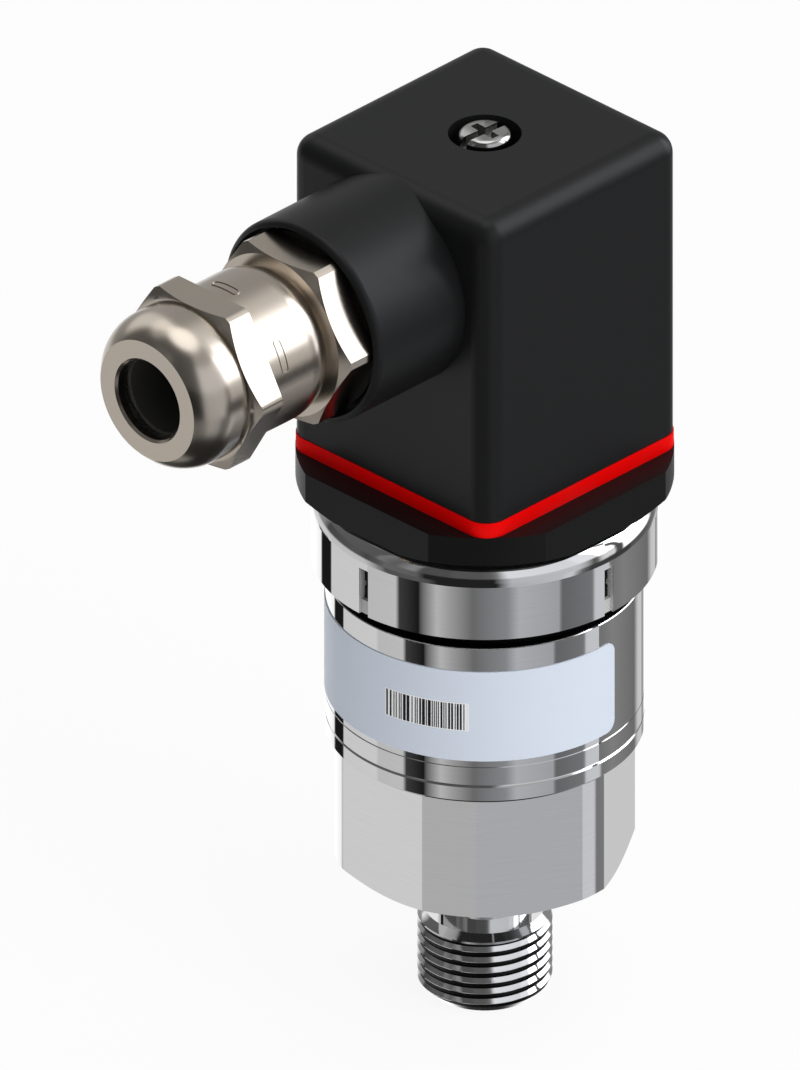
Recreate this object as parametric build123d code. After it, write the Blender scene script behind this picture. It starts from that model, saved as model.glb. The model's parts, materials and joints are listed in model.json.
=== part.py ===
"""Pressure transmitter with a plug-in electrical connector.

A stainless pressure port with a spanner hexagon carries a thin steel can. A rolled steel
collar with four latch windows holds the black connector base on top of the can. A square
plug with a cable gland pushes onto the base's four flat tabs, seals on a red gasket and is
held by one long screw through its middle.

Millimetres, +Z up. The origin is the middle of the pressure port's thread, on its axis.
The cable gland points along -Y.
"""
import os
from math import cos, radians, sin, tan

from build123d import *

# Pressure port: a G 1/4 A thread below a plain neck
PORT_THREAD_D = 13.157
PORT_THREAD_LENGTH = 7.0
PORT_END_CHAMFER = 1.25
PORT_SHOULDER_CHAMFER = 0.7
NECK_D = 9.1
NECK_LENGTH = 6.2
PRESSURE_BORE_D = 4.0

# Spanner hexagon and the flange that closes the can
HEX_AF = 27.0
HEX_CORNER_D = 29.6
HEX_HEIGHT = 13.9
HEX_CHAMFER_ANGLE = 30.0
CORNER_FLAT_RADIUS = 14.03
CORNER_FLAT_ANGLE = -60.0
FLANGE_HEIGHT = 1.9
FLANGE_CHAMFER = 0.3
SPIGOT_HEIGHT = 2.0
SEAM_CHAMFER = 0.15

# Can
CAN_D = 31.0
CAN_WALL = 0.9
CAN_HEIGHT = 15.5
CAN_SHOULDER_THICKNESS = 1.0
CAN_NECK_STEP = 0.8
CAN_NECK_WALL = 0.8
CAN_NECK_CLEARANCE = 0.3
CAN_LINE_RISE = 2.1
CAN_LINE_WIDTH = 0.16
CAN_LINE_DEPTH = 0.08

# Type label wrapped round the can
LABEL_RISE = 2.9
LABEL_HEIGHT = 9.95
LABEL_SPAN = 196.4
LABEL_THICKNESS = 0.1
LABEL_CORNER_R = 1.2

# Collar with its latch windows
COLLAR_STEP = 1.35
COLLAR_WALL = 1.0
COLLAR_GAP = 1.75
COLLAR_SIDE = 5.8
COLLAR_SHOULDER_R = 2.55
WINDOW_COUNT = 4
WINDOW_WIDTH = 1.2
WINDOW_HEIGHT = 3.65
WINDOW_DROP = 0.7
WINDOW_GROOVE_DEPTH = 0.35

# Connector base
BASE_SET_IN = 0.45
BASE_CORNER_D = 36.8
BASE_THICKNESS = 3.9
BASE_FOOT_INSET = 1.4
BASE_CHAMFER_ANGLE = 30.0
THROAT_ENTRY = 0.3
THROAT_WALL = 1.45
LATCH_SETBACK = 0.7
LATCH_NOTCH = 0.7
BASE_SEAL_CORD = 1.4

# Flat tabs and threaded insert of the base
CONTACTS = ("1", "2", "3", "earth")
TAB_WIDTH = 6.3
TAB_THICKNESS = 0.8
TAB_CIRCLE_D = 18.0
TAB_RISE = 10.3
TAB_TAIL = 3.6
TAB_POINT = 1.0
INSERT_D = 6.0
INSERT_LENGTH = 6.5
INSERT_RISE = 1.2
INSERT_GROOVE_WIDTH = 1.0
INSERT_GROOVE_DEPTH = 0.5
INSERT_BOSS_WALL = 1.5

# Gasket between the base and the plug
GASKET_THICKNESS = 1.6
GASKET_PROUD = 0.1
GASKET_TAB_MARGIN = 0.5

# Plug housing
HOOD_HEIGHT = 33.25
HOOD_WALL = 1.5
HOOD_ROOF = 2.0
HOOD_CORNER_R = 2.26
HOOD_TOP_R = 2.25
HOOD_CAVITY_CORNER_R = 0.9
SPOUT_D = 21.2
SPOUT_REACH = 25.7
SPOUT_DROP = 10.65
SPOUT_RIM_R = 0.8
SPOUT_RECESS_D = 19.9
SPOUT_RECESS_DEPTH = 2.0
SPOUT_BORE_D = 12.6
SCREW_RECESS_D = 7.2
SCREW_RECESS_DEPTH = 3.3
SCREW_RECESS_WALL = 1.1
SCREW_TUBE_WALL = 1.2

# Central screw, M3
SCREW_D = 3.0
SCREW_TIP_CHAMFER = 0.5
SCREW_HEAD_D = 5.6
SCREW_HEAD_HEIGHT = 2.3
SCREW_HEAD_DOME = 0.75
SCREW_SLOT_WIDTH = 0.9
SCREW_SLOT_DEPTH = 1.1
SCREW_CROSS_SPAN = 3.2
SCREW_TIP_GAP = 0.8
SCREW_SLOT_ANGLE = -5.0
SCREW_SEAL_THICKNESS = 0.8

# Contact carrier inside the plug
BLOCK_HEIGHT = 13.0
BLOCK_CHAMFER = 1.4
BLOCK_WALL = 1.025
TERMINAL_THICKNESS = 3.8
TERMINAL_WIDTH = 7.8
TERMINAL_RISE = 1.5
TERMINAL_CROWN = 2.5
WIRE_HOLE_D = 2.2
WIRE_HOLE_OFFSET = 2.3
CLAMP_HOLE_DEPTH = 2.2
CLAMP_SCREW_D = 2.5
CLAMP_SCREW_OFFSET = -1.7
CLAMP_SCREW_HEAD_D = 3.6
CLAMP_SCREW_HEAD_HEIGHT = 1.4
CLAMP_SCREW_SLOT_WIDTH = 0.7
CLAMP_SCREW_SLOT_DEPTH = 0.7

# Cable gland, Pg 9: distances run outwards from the can's axis
GLAND_THREAD_D = 15.2
GLAND_THREAD_LENGTH = 7.6
GLAND_AF = 17.0
GLAND_CORNER_D = 19.2
GLAND_HEX_THICKNESS = 4.3
GLAND_CHAMFER_ANGLE = 30.0
GLAND_SEAL_THICKNESS = 1.0
GLAND_SEAL_D = 18.4
GLAND_BORE_D = 9.0
BARREL_D = 16.0
BARREL_LENGTH = 8.9
BARREL_ROOT_LENGTH = 3.0
BARREL_ROOT_DROP = 0.9
GLAND_STUB_D = 13.9
GLAND_STUB_LENGTH = 6.2
GLAND_INSERT_BORE_D = 11.2
CABLE_BORE_D = 8.0
INSERT_SEAT_LENGTH = 10.5
INSERT_SKIRT_LENGTH = 1.0
THRUST_RING_D = 13.0
THRUST_RING_THICKNESS = 0.8

# Gland nut
NUT_LENGTH = 9.0
NUT_HEX_THICKNESS = 3.4
NUT_DOME_D = 16.4
NUT_CROWN_LENGTH = 3.8
NUT_FACE_D = 12.7
NUT_HOLE_D = 8.4
NUT_HOLE_CHAMFER = 0.25

# Pressure cell and electronics inside the can
CELL_BOSS_D = 12.0
CELL_BOSS_HEIGHT = 1.8
CELL_D = 10.5
CELL_HEIGHT = 4.6
CELL_MEMBRANE = 0.4
CELL_BORE_D = 5.0
CELL_FLANGE_HEIGHT = 1.2
CHIP_SIZE = 3.2
CHIP_THICKNESS = 0.4
BOARD_THICKNESS = 1.0
BOARD_SUPPORT_WIDTH = 2.2
BOARD_PLAY = 0.3
SIGNAL_BOARD_GAP = 1.0
SIGNAL_BOARD_HEIGHT = 11.0
SIGNAL_BOARD_THICKNESS = 1.2
SIGNAL_BOARD_OFFSET = 2.6
AMPLIFIER_WIDTH = 7.0
AMPLIFIER_HEIGHT = 5.0
AMPLIFIER_THICKNESS = 1.5
CAPACITOR_WIDTH = 1.6
CAPACITOR_HEIGHT = 3.2
CAPACITOR_THICKNESS = 1.4
CAPACITOR_PITCH = 3.0
CAPACITOR_COUNT = 2
BOARD_PART_DROP = 5.6
LEAD_D = 0.9
LEAD_BEND_R = 0.9
LEAD_DROP = 1.6

# Clearances
RUNNING_CLEARANCE = 0.05
SEAT_CLEARANCE = 0.1
SLIDE_CLEARANCE = 0.15

# Levels from the origin upwards
THREAD_TOP = PORT_THREAD_LENGTH / 2
PORT_END = -PORT_THREAD_LENGTH / 2 - PORT_END_CHAMFER
NECK_BOTTOM = THREAD_TOP + PORT_SHOULDER_CHAMFER
HEX_BOTTOM = NECK_BOTTOM + NECK_LENGTH
HEX_TOP = HEX_BOTTOM + HEX_HEIGHT
CAN_BOTTOM = HEX_TOP + FLANGE_HEIGHT
CAN_TOP = CAN_BOTTOM + CAN_HEIGHT
COLLAR_BOTTOM = CAN_TOP + COLLAR_GAP
COLLAR_EDGE = COLLAR_BOTTOM + COLLAR_SIDE
BASE_BOTTOM = COLLAR_EDGE + COLLAR_SHOULDER_R
BASE_TOP = BASE_BOTTOM + BASE_THICKNESS
HOOD_BOTTOM = BASE_TOP + GASKET_THICKNESS
HOOD_TOP = HOOD_BOTTOM + HOOD_HEIGHT
GLAND_Z = HOOD_TOP - SPOUT_DROP
SCREW_SEAL_BOTTOM = HOOD_TOP - SCREW_RECESS_DEPTH
SCREW_HEAD_BOTTOM = SCREW_SEAL_BOTTOM + SCREW_SEAL_THICKNESS
INSERT_TOP = BASE_TOP + INSERT_RISE
INSERT_BOTTOM = INSERT_TOP - INSERT_LENGTH
SPIGOT_TOP = CAN_BOTTOM + SPIGOT_HEIGHT
CELL_BOTTOM = SPIGOT_TOP + CELL_BOSS_HEIGHT
CELL_TOP = CELL_BOTTOM + CELL_HEIGHT
WINDOW_TOP = COLLAR_EDGE - WINDOW_DROP
WINDOW_BOTTOM = WINDOW_TOP - WINDOW_HEIGHT
CAN_NECK_TOP = WINDOW_BOTTOM - CAN_NECK_CLEARANCE
THROAT_BOTTOM = CAN_TOP - THROAT_ENTRY
BASE_SEAL_Z = (THROAT_BOTTOM + CAN_NECK_TOP) / 2
TAB_TOP = BASE_TOP + TAB_RISE
TAB_END = BASE_BOTTOM - TAB_TAIL
BLOCK_TOP = HOOD_BOTTOM + BLOCK_HEIGHT
TERMINAL_BOTTOM = HOOD_BOTTOM + TERMINAL_RISE
TERMINAL_TOP = TAB_TOP + TERMINAL_CROWN
SIGNAL_BOARD_TOP = CELL_TOP + SIGNAL_BOARD_HEIGHT

# Radii and widths that pieces share
CAN_NECK_R = CAN_D / 2 - CAN_NECK_STEP
COLLAR_R = CAN_D / 2 + COLLAR_STEP
BASE_SQUARE = 2 * (COLLAR_R - BASE_SET_IN)
NECK_BORE_R = CAN_NECK_R - CAN_NECK_WALL
THROAT_R = NECK_BORE_R - SEAT_CLEARANCE
SPIGOT_R = CAN_D / 2 - CAN_WALL - RUNNING_CLEARANCE
SEAL_GROOVE_R = NECK_BORE_R - RUNNING_CLEARANCE - BASE_SEAL_CORD
THROAT_BORE_R = SEAL_GROOVE_R - THROAT_WALL
SIGNAL_BOARD_WIDTH = 2 * (THROAT_BORE_R - SIGNAL_BOARD_GAP)
BLOCK_SIZE = TAB_CIRCLE_D + TERMINAL_THICKNESS + 2 * BLOCK_WALL
CAVITY_SIZE = BLOCK_SIZE + 2 * SLIDE_CLEARANCE
HOOD_SIZE = CAVITY_SIZE + 2 * HOOD_WALL
SCREW_BORE_D = SCREW_D + 2 * SLIDE_CLEARANCE
SCREW_TUBE_D = SCREW_BORE_D + 2 * SCREW_TUBE_WALL

# Stations along the gland's axis, outwards from the can's axis
SPOUT_FLOOR = SPOUT_REACH - SPOUT_RECESS_DEPTH
GLAND_HEX_START = SPOUT_FLOOR + GLAND_SEAL_THICKNESS
GLAND_HEX_END = GLAND_HEX_START + GLAND_HEX_THICKNESS
BARREL_END = GLAND_HEX_END + BARREL_LENGTH
STUB_END = BARREL_END + GLAND_STUB_LENGTH
NUT_FACE = BARREL_END + NUT_LENGTH
THRUST_RING_START = STUB_END + INSERT_SKIRT_LENGTH

GLAND_FRAME = Plane(origin=(0, 0, GLAND_Z), x_dir=(1, 0, 0), z_dir=(0, -1, 0))
SAME = 1e-4


def turned(*points):
    """A solid turned about Z from corner points given as (radius, height)."""
    outline = Polyline(*[(r, 0, z) for r, z in points], close=True)
    return revolve(make_face(outline), axis=Axis.Z)


def crowned(side_r, end_r, foot, bend, end):
    """A turned solid: a straight side from foot to bend, then a curve in to its smaller end."""
    straight = Polyline(
        (end_r, 0, end), (0, 0, end), (0, 0, foot), (side_r, 0, foot), (side_r, 0, bend)
    )
    curve = TangentArc((side_r, 0, bend), (end_r, 0, end), tangent=(0, 0, end - bend))
    return revolve(make_face(straight + curve), axis=Axis.Z)


def rings(part, level, radius):
    """The circular edges of a turned part at one height and radius."""
    circles = part.edges().filter_by(GeomType.CIRCLE)
    return [
        edge
        for edge in circles
        if abs(edge.radius - radius) < SAME and abs(edge.arc_center.Z - level) < SAME
    ]


def rod(diameter, bottom, top):
    """An upright cylinder on the Z axis between two heights."""
    return Pos(0, 0, bottom) * Cylinder(
        diameter / 2, top - bottom, align=(Align.CENTER, Align.CENTER, Align.MIN)
    )


def tube(outer_d, inner_d, bottom, top):
    """An upright tube on the Z axis between two heights."""
    return rod(outer_d, bottom, top) - rod(inner_d, bottom, top)


def slab(width, depth, bottom, top, corner_r=0.0):
    """An upright block on the Z axis, with rounded vertical corners if asked."""
    outline = RectangleRounded(width, depth, corner_r) if corner_r else Rectangle(width, depth)
    return Pos(0, 0, bottom) * extrude(outline, amount=top - bottom)


def hexagon(across_flats, bottom, top):
    """A hexagonal prism on the Z axis with flats towards -Y and +Y."""
    outline = RegularPolygon(across_flats / 2, 6, major_radius=False)
    return Pos(0, 0, bottom) * extrude(outline, amount=top - bottom)


def chamfered_hexagon(across_flats, corner_d, bottom, top, angle, lower=True, upper=True):
    """A hexagon turned to a corner diameter, with its ends bevelled down to the flats."""
    corner_r = corner_d / 2
    drop = (corner_r - across_flats / 2) * tan(radians(angle))
    foot = bottom + (drop if lower else 0)
    head = top - (drop if upper else 0)
    outline = [(0, bottom), (0, top)]
    if upper:
        outline.append((across_flats / 2, top))
    outline += [(corner_r, head), (corner_r, foot)]
    if lower:
        outline.append((across_flats / 2, bottom))
    return hexagon(across_flats, bottom, top) & turned(*outline)


def on_tab_circle(part, index):
    """A part made at the first tab's place, turned to another of the places."""
    return Rot(0, 0, 360 / len(CONTACTS) * index) * part


def at_window(part, index):
    """A part made at the first latch window, turned to another window."""
    return Rot(0, 0, 360 / WINDOW_COUNT * index) * part


def port_body():
    """The pressure port: thread, neck, hexagon with one milled corner, flange and boss."""
    thread_r = PORT_THREAD_D / 2
    stem = turned(
        (0, PORT_END),
        (thread_r - PORT_END_CHAMFER, PORT_END),
        (thread_r, PORT_END + PORT_END_CHAMFER),
        (thread_r, THREAD_TOP),
        (thread_r - PORT_SHOULDER_CHAMFER, NECK_BOTTOM),
        (NECK_D / 2, NECK_BOTTOM),
        (NECK_D / 2, HEX_BOTTOM),
        (0, HEX_BOTTOM),
    )
    spanner_hex = chamfered_hexagon(
        HEX_AF, HEX_CORNER_D, HEX_BOTTOM, HEX_TOP, HEX_CHAMFER_ANGLE, upper=False
    )
    cutter = Pos(CORNER_FLAT_RADIUS, 0, HEX_BOTTOM) * Box(
        HEX_CORNER_D, HEX_AF, HEX_HEIGHT, align=(Align.MIN, Align.CENTER, Align.MIN)
    )
    spanner_hex = spanner_hex - Rot(0, 0, CORNER_FLAT_ANGLE) * cutter
    flange_r = CAN_D / 2
    head = turned(
        (0, HEX_TOP),
        (flange_r - FLANGE_CHAMFER, HEX_TOP),
        (flange_r, HEX_TOP + FLANGE_CHAMFER),
        (flange_r, CAN_BOTTOM - SEAM_CHAMFER),
        (flange_r - SEAM_CHAMFER, CAN_BOTTOM),
        (SPIGOT_R, CAN_BOTTOM),
        (SPIGOT_R, SPIGOT_TOP),
        (CELL_BOSS_D / 2, SPIGOT_TOP),
        (CELL_BOSS_D / 2, CELL_BOTTOM),
        (0, CELL_BOTTOM),
    )
    return stem + spanner_hex + head - rod(PRESSURE_BORE_D, PORT_END, CELL_BOTTOM)


def housing_can():
    """The thin can: welded to the flange below, drawn in to a neck above."""
    outer = CAN_D / 2
    inner = outer - CAN_WALL
    can = turned(
        (inner, CAN_BOTTOM),
        (outer - SEAM_CHAMFER, CAN_BOTTOM),
        (outer, CAN_BOTTOM + SEAM_CHAMFER),
        (outer, CAN_TOP - SEAM_CHAMFER),
        (outer - SEAM_CHAMFER, CAN_TOP),
        (CAN_NECK_R, CAN_TOP),
        (CAN_NECK_R, CAN_NECK_TOP),
        (NECK_BORE_R, CAN_NECK_TOP),
        (NECK_BORE_R, CAN_TOP - CAN_SHOULDER_THICKNESS),
        (inner, CAN_TOP - CAN_SHOULDER_THICKNESS),
    )
    line_bottom = CAN_BOTTOM + CAN_LINE_RISE
    line = tube(CAN_D + 1, CAN_D - 2 * CAN_LINE_DEPTH, line_bottom, line_bottom + CAN_LINE_WIDTH)
    return can - line


def label():
    """The wrapped label, with its four corners rounded, centred on the gland's side."""
    section = Pos(CAN_D / 2, 0, CAN_BOTTOM + LABEL_RISE) * (
        Plane.XZ * Rectangle(LABEL_THICKNESS, LABEL_HEIGHT, align=(Align.MIN, Align.MIN))
    )
    sheet = revolve(section, axis=Axis.Z, revolution_arc=LABEL_SPAN)
    corners = [edge for edge in sheet.edges() if abs(edge.length - LABEL_THICKNESS) < SAME]
    sheet = fillet(corners, LABEL_CORNER_R)
    return Rot(0, 0, -90 - LABEL_SPAN / 2) * sheet


def collar_ring():
    """The rolled collar: a lip on the can's neck, a straight side and a rounded shoulder."""
    outer = COLLAR_R
    inner = outer - COLLAR_WALL
    lip = CAN_NECK_R + RUNNING_CLEARANCE
    mouth = THROAT_R + SEAT_CLEARANCE
    shell = turned(
        (lip, COLLAR_BOTTOM),
        (outer, COLLAR_BOTTOM),
        (outer, BASE_BOTTOM),
        (mouth, BASE_BOTTOM),
        (mouth, BASE_BOTTOM - COLLAR_WALL),
        (inner, BASE_BOTTOM - COLLAR_WALL),
        (inner, COLLAR_BOTTOM + COLLAR_WALL),
        (lip, COLLAR_BOTTOM + COLLAR_WALL),
    )
    shell = fillet(rings(shell, BASE_BOTTOM, outer), COLLAR_SHOULDER_R)
    shell = fillet(rings(shell, BASE_BOTTOM - COLLAR_WALL, inner), COLLAR_SHOULDER_R - COLLAR_WALL)
    window = Pos(inner - COLLAR_WALL, 0, WINDOW_BOTTOM) * Box(
        3 * COLLAR_WALL, WINDOW_WIDTH, WINDOW_HEIGHT, align=(Align.MIN, Align.CENTER, Align.MIN)
    )
    groove = Pos(outer - WINDOW_GROOVE_DEPTH, 0, COLLAR_BOTTOM) * Box(
        COLLAR_WALL, WINDOW_WIDTH, WINDOW_BOTTOM - COLLAR_BOTTOM,
        align=(Align.MIN, Align.CENTER, Align.MIN),
    )
    for index in range(WINDOW_COUNT):
        shell = shell - at_window(window + groove, index)
    return shell


def latch():
    """One snap hook of the base, pointing along +X, with a lead-in slope below."""
    reach = COLLAR_R - LATCH_SETBACK
    root = THROAT_R - SEAT_CLEARANCE
    bottom = WINDOW_BOTTOM + SEAT_CLEARANCE
    top = WINDOW_TOP - SEAT_CLEARANCE
    middle = bottom + WINDOW_HEIGHT / 3
    outline = make_face(Polyline(
        (root, 0, bottom), (reach, 0, bottom), (reach, 0, middle), (reach - LATCH_NOTCH, 0, middle),
        (reach, 0, middle + LATCH_NOTCH), (reach, 0, top), (root, 0, top), close=True,
    ))
    return extrude(outline, amount=WINDOW_WIDTH / 2 - SEAT_CLEARANCE, dir=(0, 1, 0), both=True)


def insert_envelope():
    """The outside of the threaded insert, with the groove that keys it into the base."""
    middle = (INSERT_BOTTOM + BASE_BOTTOM) / 2
    groove = tube(
        INSERT_D + 1, INSERT_D - 2 * INSERT_GROOVE_DEPTH,
        middle - INSERT_GROOVE_WIDTH / 2, middle + INSERT_GROOVE_WIDTH / 2,
    )
    return rod(INSERT_D, INSERT_BOTTOM, INSERT_TOP) - groove


def connector_base():
    """The black base: a square plate with turned corners, a throat and four snap hooks."""
    corner_r = BASE_CORNER_D / 2
    foot_r = corner_r - BASE_FOOT_INSET
    rise = BASE_FOOT_INSET * tan(radians(BASE_CHAMFER_ANGLE))
    plate = slab(BASE_SQUARE, BASE_SQUARE, BASE_BOTTOM, BASE_TOP) & turned(
        (0, BASE_BOTTOM), (foot_r, BASE_BOTTOM), (corner_r, BASE_BOTTOM + rise),
        (corner_r, BASE_TOP), (0, BASE_TOP),
    )
    throat = tube(2 * THROAT_R, 2 * THROAT_BORE_R, THROAT_BOTTOM, BASE_BOTTOM)
    groove_height = BASE_SEAL_CORD + 2 * SEAT_CLEARANCE
    seal_groove = tube(
        CAN_D, 2 * SEAL_GROOVE_R, BASE_SEAL_Z - groove_height / 2, BASE_SEAL_Z + groove_height / 2
    )
    boss = rod(INSERT_D + 2 * INSERT_BOSS_WALL, INSERT_BOTTOM - INSERT_BOSS_WALL, BASE_BOTTOM)
    base = plate + throat - seal_groove + boss
    for index in range(WINDOW_COUNT):
        base = base + at_window(latch(), index)
    for index in range(len(CONTACTS)):
        base = base - on_tab_circle(tab(), index)
    return base - insert_envelope()


def base_seal():
    """The O-ring between the base's throat and the can's neck."""
    centre_r = SEAL_GROOVE_R + BASE_SEAL_CORD / 2
    return Pos(0, 0, BASE_SEAL_Z) * Torus(centre_r, BASE_SEAL_CORD / 2)


def nut_insert():
    """The brass insert that takes the central screw."""
    return insert_envelope() - rod(SCREW_D + 2 * RUNNING_CLEARANCE, INSERT_BOTTOM, INSERT_TOP)


def tab():
    """A flat contact tab at +X, pointed at its top, with a solder tail below the base."""
    half = TAB_WIDTH / 2
    outline = make_face(Polyline(
        (0, -half, TAB_END), (0, half, TAB_END), (0, half, TAB_TOP - TAB_POINT),
        (0, half - TAB_POINT, TAB_TOP), (0, TAB_POINT - half, TAB_TOP),
        (0, -half, TAB_TOP - TAB_POINT), close=True,
    ))
    blade = extrude(outline, amount=TAB_THICKNESS / 2, dir=(1, 0, 0), both=True)
    return Pos(TAB_CIRCLE_D / 2, 0, 0) * blade


def profile_gasket():
    """The red gasket: a square sheet with a hole for the insert and one for each tab."""
    size = HOOD_SIZE + 2 * GASKET_PROUD
    sheet = slab(size, size, BASE_TOP, HOOD_BOTTOM, HOOD_CORNER_R + GASKET_PROUD)
    sheet = sheet - rod(INSERT_D + 2 * GASKET_TAB_MARGIN, BASE_TOP, HOOD_BOTTOM)
    tab_hole = Pos(TAB_CIRCLE_D / 2, 0, 0) * slab(
        TAB_THICKNESS + 2 * GASKET_TAB_MARGIN, TAB_WIDTH + 2 * GASKET_TAB_MARGIN, BASE_TOP, HOOD_BOTTOM
    )
    for index in range(len(CONTACTS)):
        sheet = sheet - on_tab_circle(tab_hole, index)
    return sheet


def hood():
    """The square plug housing with its round spout for the gland and its screw tube."""
    shell = slab(HOOD_SIZE, HOOD_SIZE, HOOD_BOTTOM, HOOD_TOP, HOOD_CORNER_R)
    shell = fillet(shell.faces().sort_by(Axis.Z)[-1].edges(), HOOD_TOP_R)
    spout = turned((0, HOOD_SIZE / 2 - HOOD_WALL), (SPOUT_D / 2, HOOD_SIZE / 2 - HOOD_WALL),
                   (SPOUT_D / 2, SPOUT_REACH), (0, SPOUT_REACH))
    spout = fillet(rings(spout, SPOUT_REACH, SPOUT_D / 2), SPOUT_RIM_R)
    shell = shell + GLAND_FRAME.location * spout
    cavity = slab(
        CAVITY_SIZE, CAVITY_SIZE, HOOD_BOTTOM, HOOD_TOP - HOOD_ROOF, HOOD_CAVITY_CORNER_R
    )
    thread_start = SPOUT_FLOOR - GLAND_THREAD_LENGTH
    bores = turned(
        (0, 0), (SPOUT_BORE_D / 2, 0), (SPOUT_BORE_D / 2, thread_start),
        (GLAND_THREAD_D / 2 + RUNNING_CLEARANCE, thread_start),
        (GLAND_THREAD_D / 2 + RUNNING_CLEARANCE, SPOUT_FLOOR),
        (SPOUT_RECESS_D / 2, SPOUT_FLOOR), (SPOUT_RECESS_D / 2, SPOUT_REACH), (0, SPOUT_REACH),
    )
    shell = shell - cavity - GLAND_FRAME.location * bores
    tube_d = SCREW_RECESS_D + 2 * SCREW_RECESS_WALL
    tube_step = SCREW_SEAL_BOTTOM - SCREW_RECESS_WALL
    shell = shell + rod(tube_d, tube_step, HOOD_TOP - HOOD_ROOF)
    shell = shell + rod(SCREW_TUBE_D, BLOCK_TOP, tube_step)
    shell = shell - rod(SCREW_BORE_D, HOOD_BOTTOM, HOOD_TOP)
    return shell - rod(SCREW_RECESS_D, SCREW_SEAL_BOTTOM, HOOD_TOP)


def hood_screw():
    """The long central screw with a domed, slotted and crossed head."""
    tip = INSERT_BOTTOM + SCREW_TIP_GAP
    head_top = SCREW_HEAD_BOTTOM + SCREW_HEAD_HEIGHT
    head = rod(SCREW_HEAD_D, SCREW_HEAD_BOTTOM, head_top)
    head = fillet(rings(head, head_top, SCREW_HEAD_D / 2), SCREW_HEAD_DOME)
    slot = slab(SCREW_SLOT_WIDTH, SCREW_HEAD_D + 1, head_top - SCREW_SLOT_DEPTH, head_top)
    cross = slab(SCREW_CROSS_SPAN, SCREW_SLOT_WIDTH, head_top - SCREW_SLOT_DEPTH, head_top)
    cuts = Rot(0, 0, SCREW_SLOT_ANGLE) * (slot + cross)
    shank = rod(SCREW_D, tip, SCREW_HEAD_BOTTOM)
    shank = chamfer(rings(shank, tip, SCREW_D / 2), SCREW_TIP_CHAMFER)
    return head - cuts + shank


def screw_seal():
    """The sealing washer under the screw's head."""
    outer = SCREW_RECESS_D - 2 * SLIDE_CLEARANCE
    return tube(outer, SCREW_BORE_D, SCREW_SEAL_BOTTOM, SCREW_HEAD_BOTTOM)


def terminal():
    """A clamp terminal at +X: a socket for the tab below, a wire hole and a screw hole above."""
    body = slab(TERMINAL_THICKNESS, TERMINAL_WIDTH, TERMINAL_BOTTOM, TERMINAL_TOP)
    socket = slab(
        TAB_THICKNESS + 2 * SEAT_CLEARANCE, TAB_WIDTH + 2 * SEAT_CLEARANCE,
        TERMINAL_BOTTOM, TAB_TOP + SEAT_CLEARANCE,
    )
    hole_floor = TERMINAL_TOP - CLAMP_HOLE_DEPTH
    wire_hole = Pos(0, WIRE_HOLE_OFFSET, 0) * rod(WIRE_HOLE_D, hole_floor, TERMINAL_TOP)
    screw_hole = Pos(0, CLAMP_SCREW_OFFSET, 0) * rod(
        CLAMP_SCREW_D + 2 * RUNNING_CLEARANCE, hole_floor, TERMINAL_TOP
    )
    return Pos(TAB_CIRCLE_D / 2, 0, 0) * (body - socket - wire_hole - screw_hole)


def terminal_screws():
    """The four clamp screws, one on each terminal."""
    top = TERMINAL_TOP + CLAMP_SCREW_HEAD_HEIGHT
    head = rod(CLAMP_SCREW_HEAD_D, TERMINAL_TOP, top)
    slot = slab(CLAMP_SCREW_SLOT_WIDTH, CLAMP_SCREW_HEAD_D + 1, top - CLAMP_SCREW_SLOT_DEPTH, top)
    shank = rod(CLAMP_SCREW_D, TERMINAL_TOP - CLAMP_HOLE_DEPTH + SEAT_CLEARANCE, TERMINAL_TOP)
    screw = Pos(TAB_CIRCLE_D / 2, CLAMP_SCREW_OFFSET, 0) * (head - slot + shank)
    return Compound([on_tab_circle(screw, index).solid() for index in range(len(CONTACTS))])


def contact_block():
    """The carrier that holds the four terminals and slides over the tabs."""
    block = slab(BLOCK_SIZE, BLOCK_SIZE, HOOD_BOTTOM, BLOCK_TOP)
    block = chamfer(block.edges().filter_by(Axis.Z), BLOCK_CHAMFER)
    block = block - rod(SCREW_BORE_D, HOOD_BOTTOM, BLOCK_TOP)
    pocket = slab(
        TERMINAL_THICKNESS + 2 * SEAT_CLEARANCE, TERMINAL_WIDTH + 2 * SEAT_CLEARANCE,
        TERMINAL_BOTTOM, BLOCK_TOP,
    )
    tab_slot = slab(
        TAB_THICKNESS + 2 * SLIDE_CLEARANCE, TAB_WIDTH + 2 * SLIDE_CLEARANCE, HOOD_BOTTOM, BLOCK_TOP
    )
    place = Pos(TAB_CIRCLE_D / 2, 0, 0)
    for index in range(len(CONTACTS)):
        block = block - on_tab_circle(place * (pocket + tab_slot), index)
    return block


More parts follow.
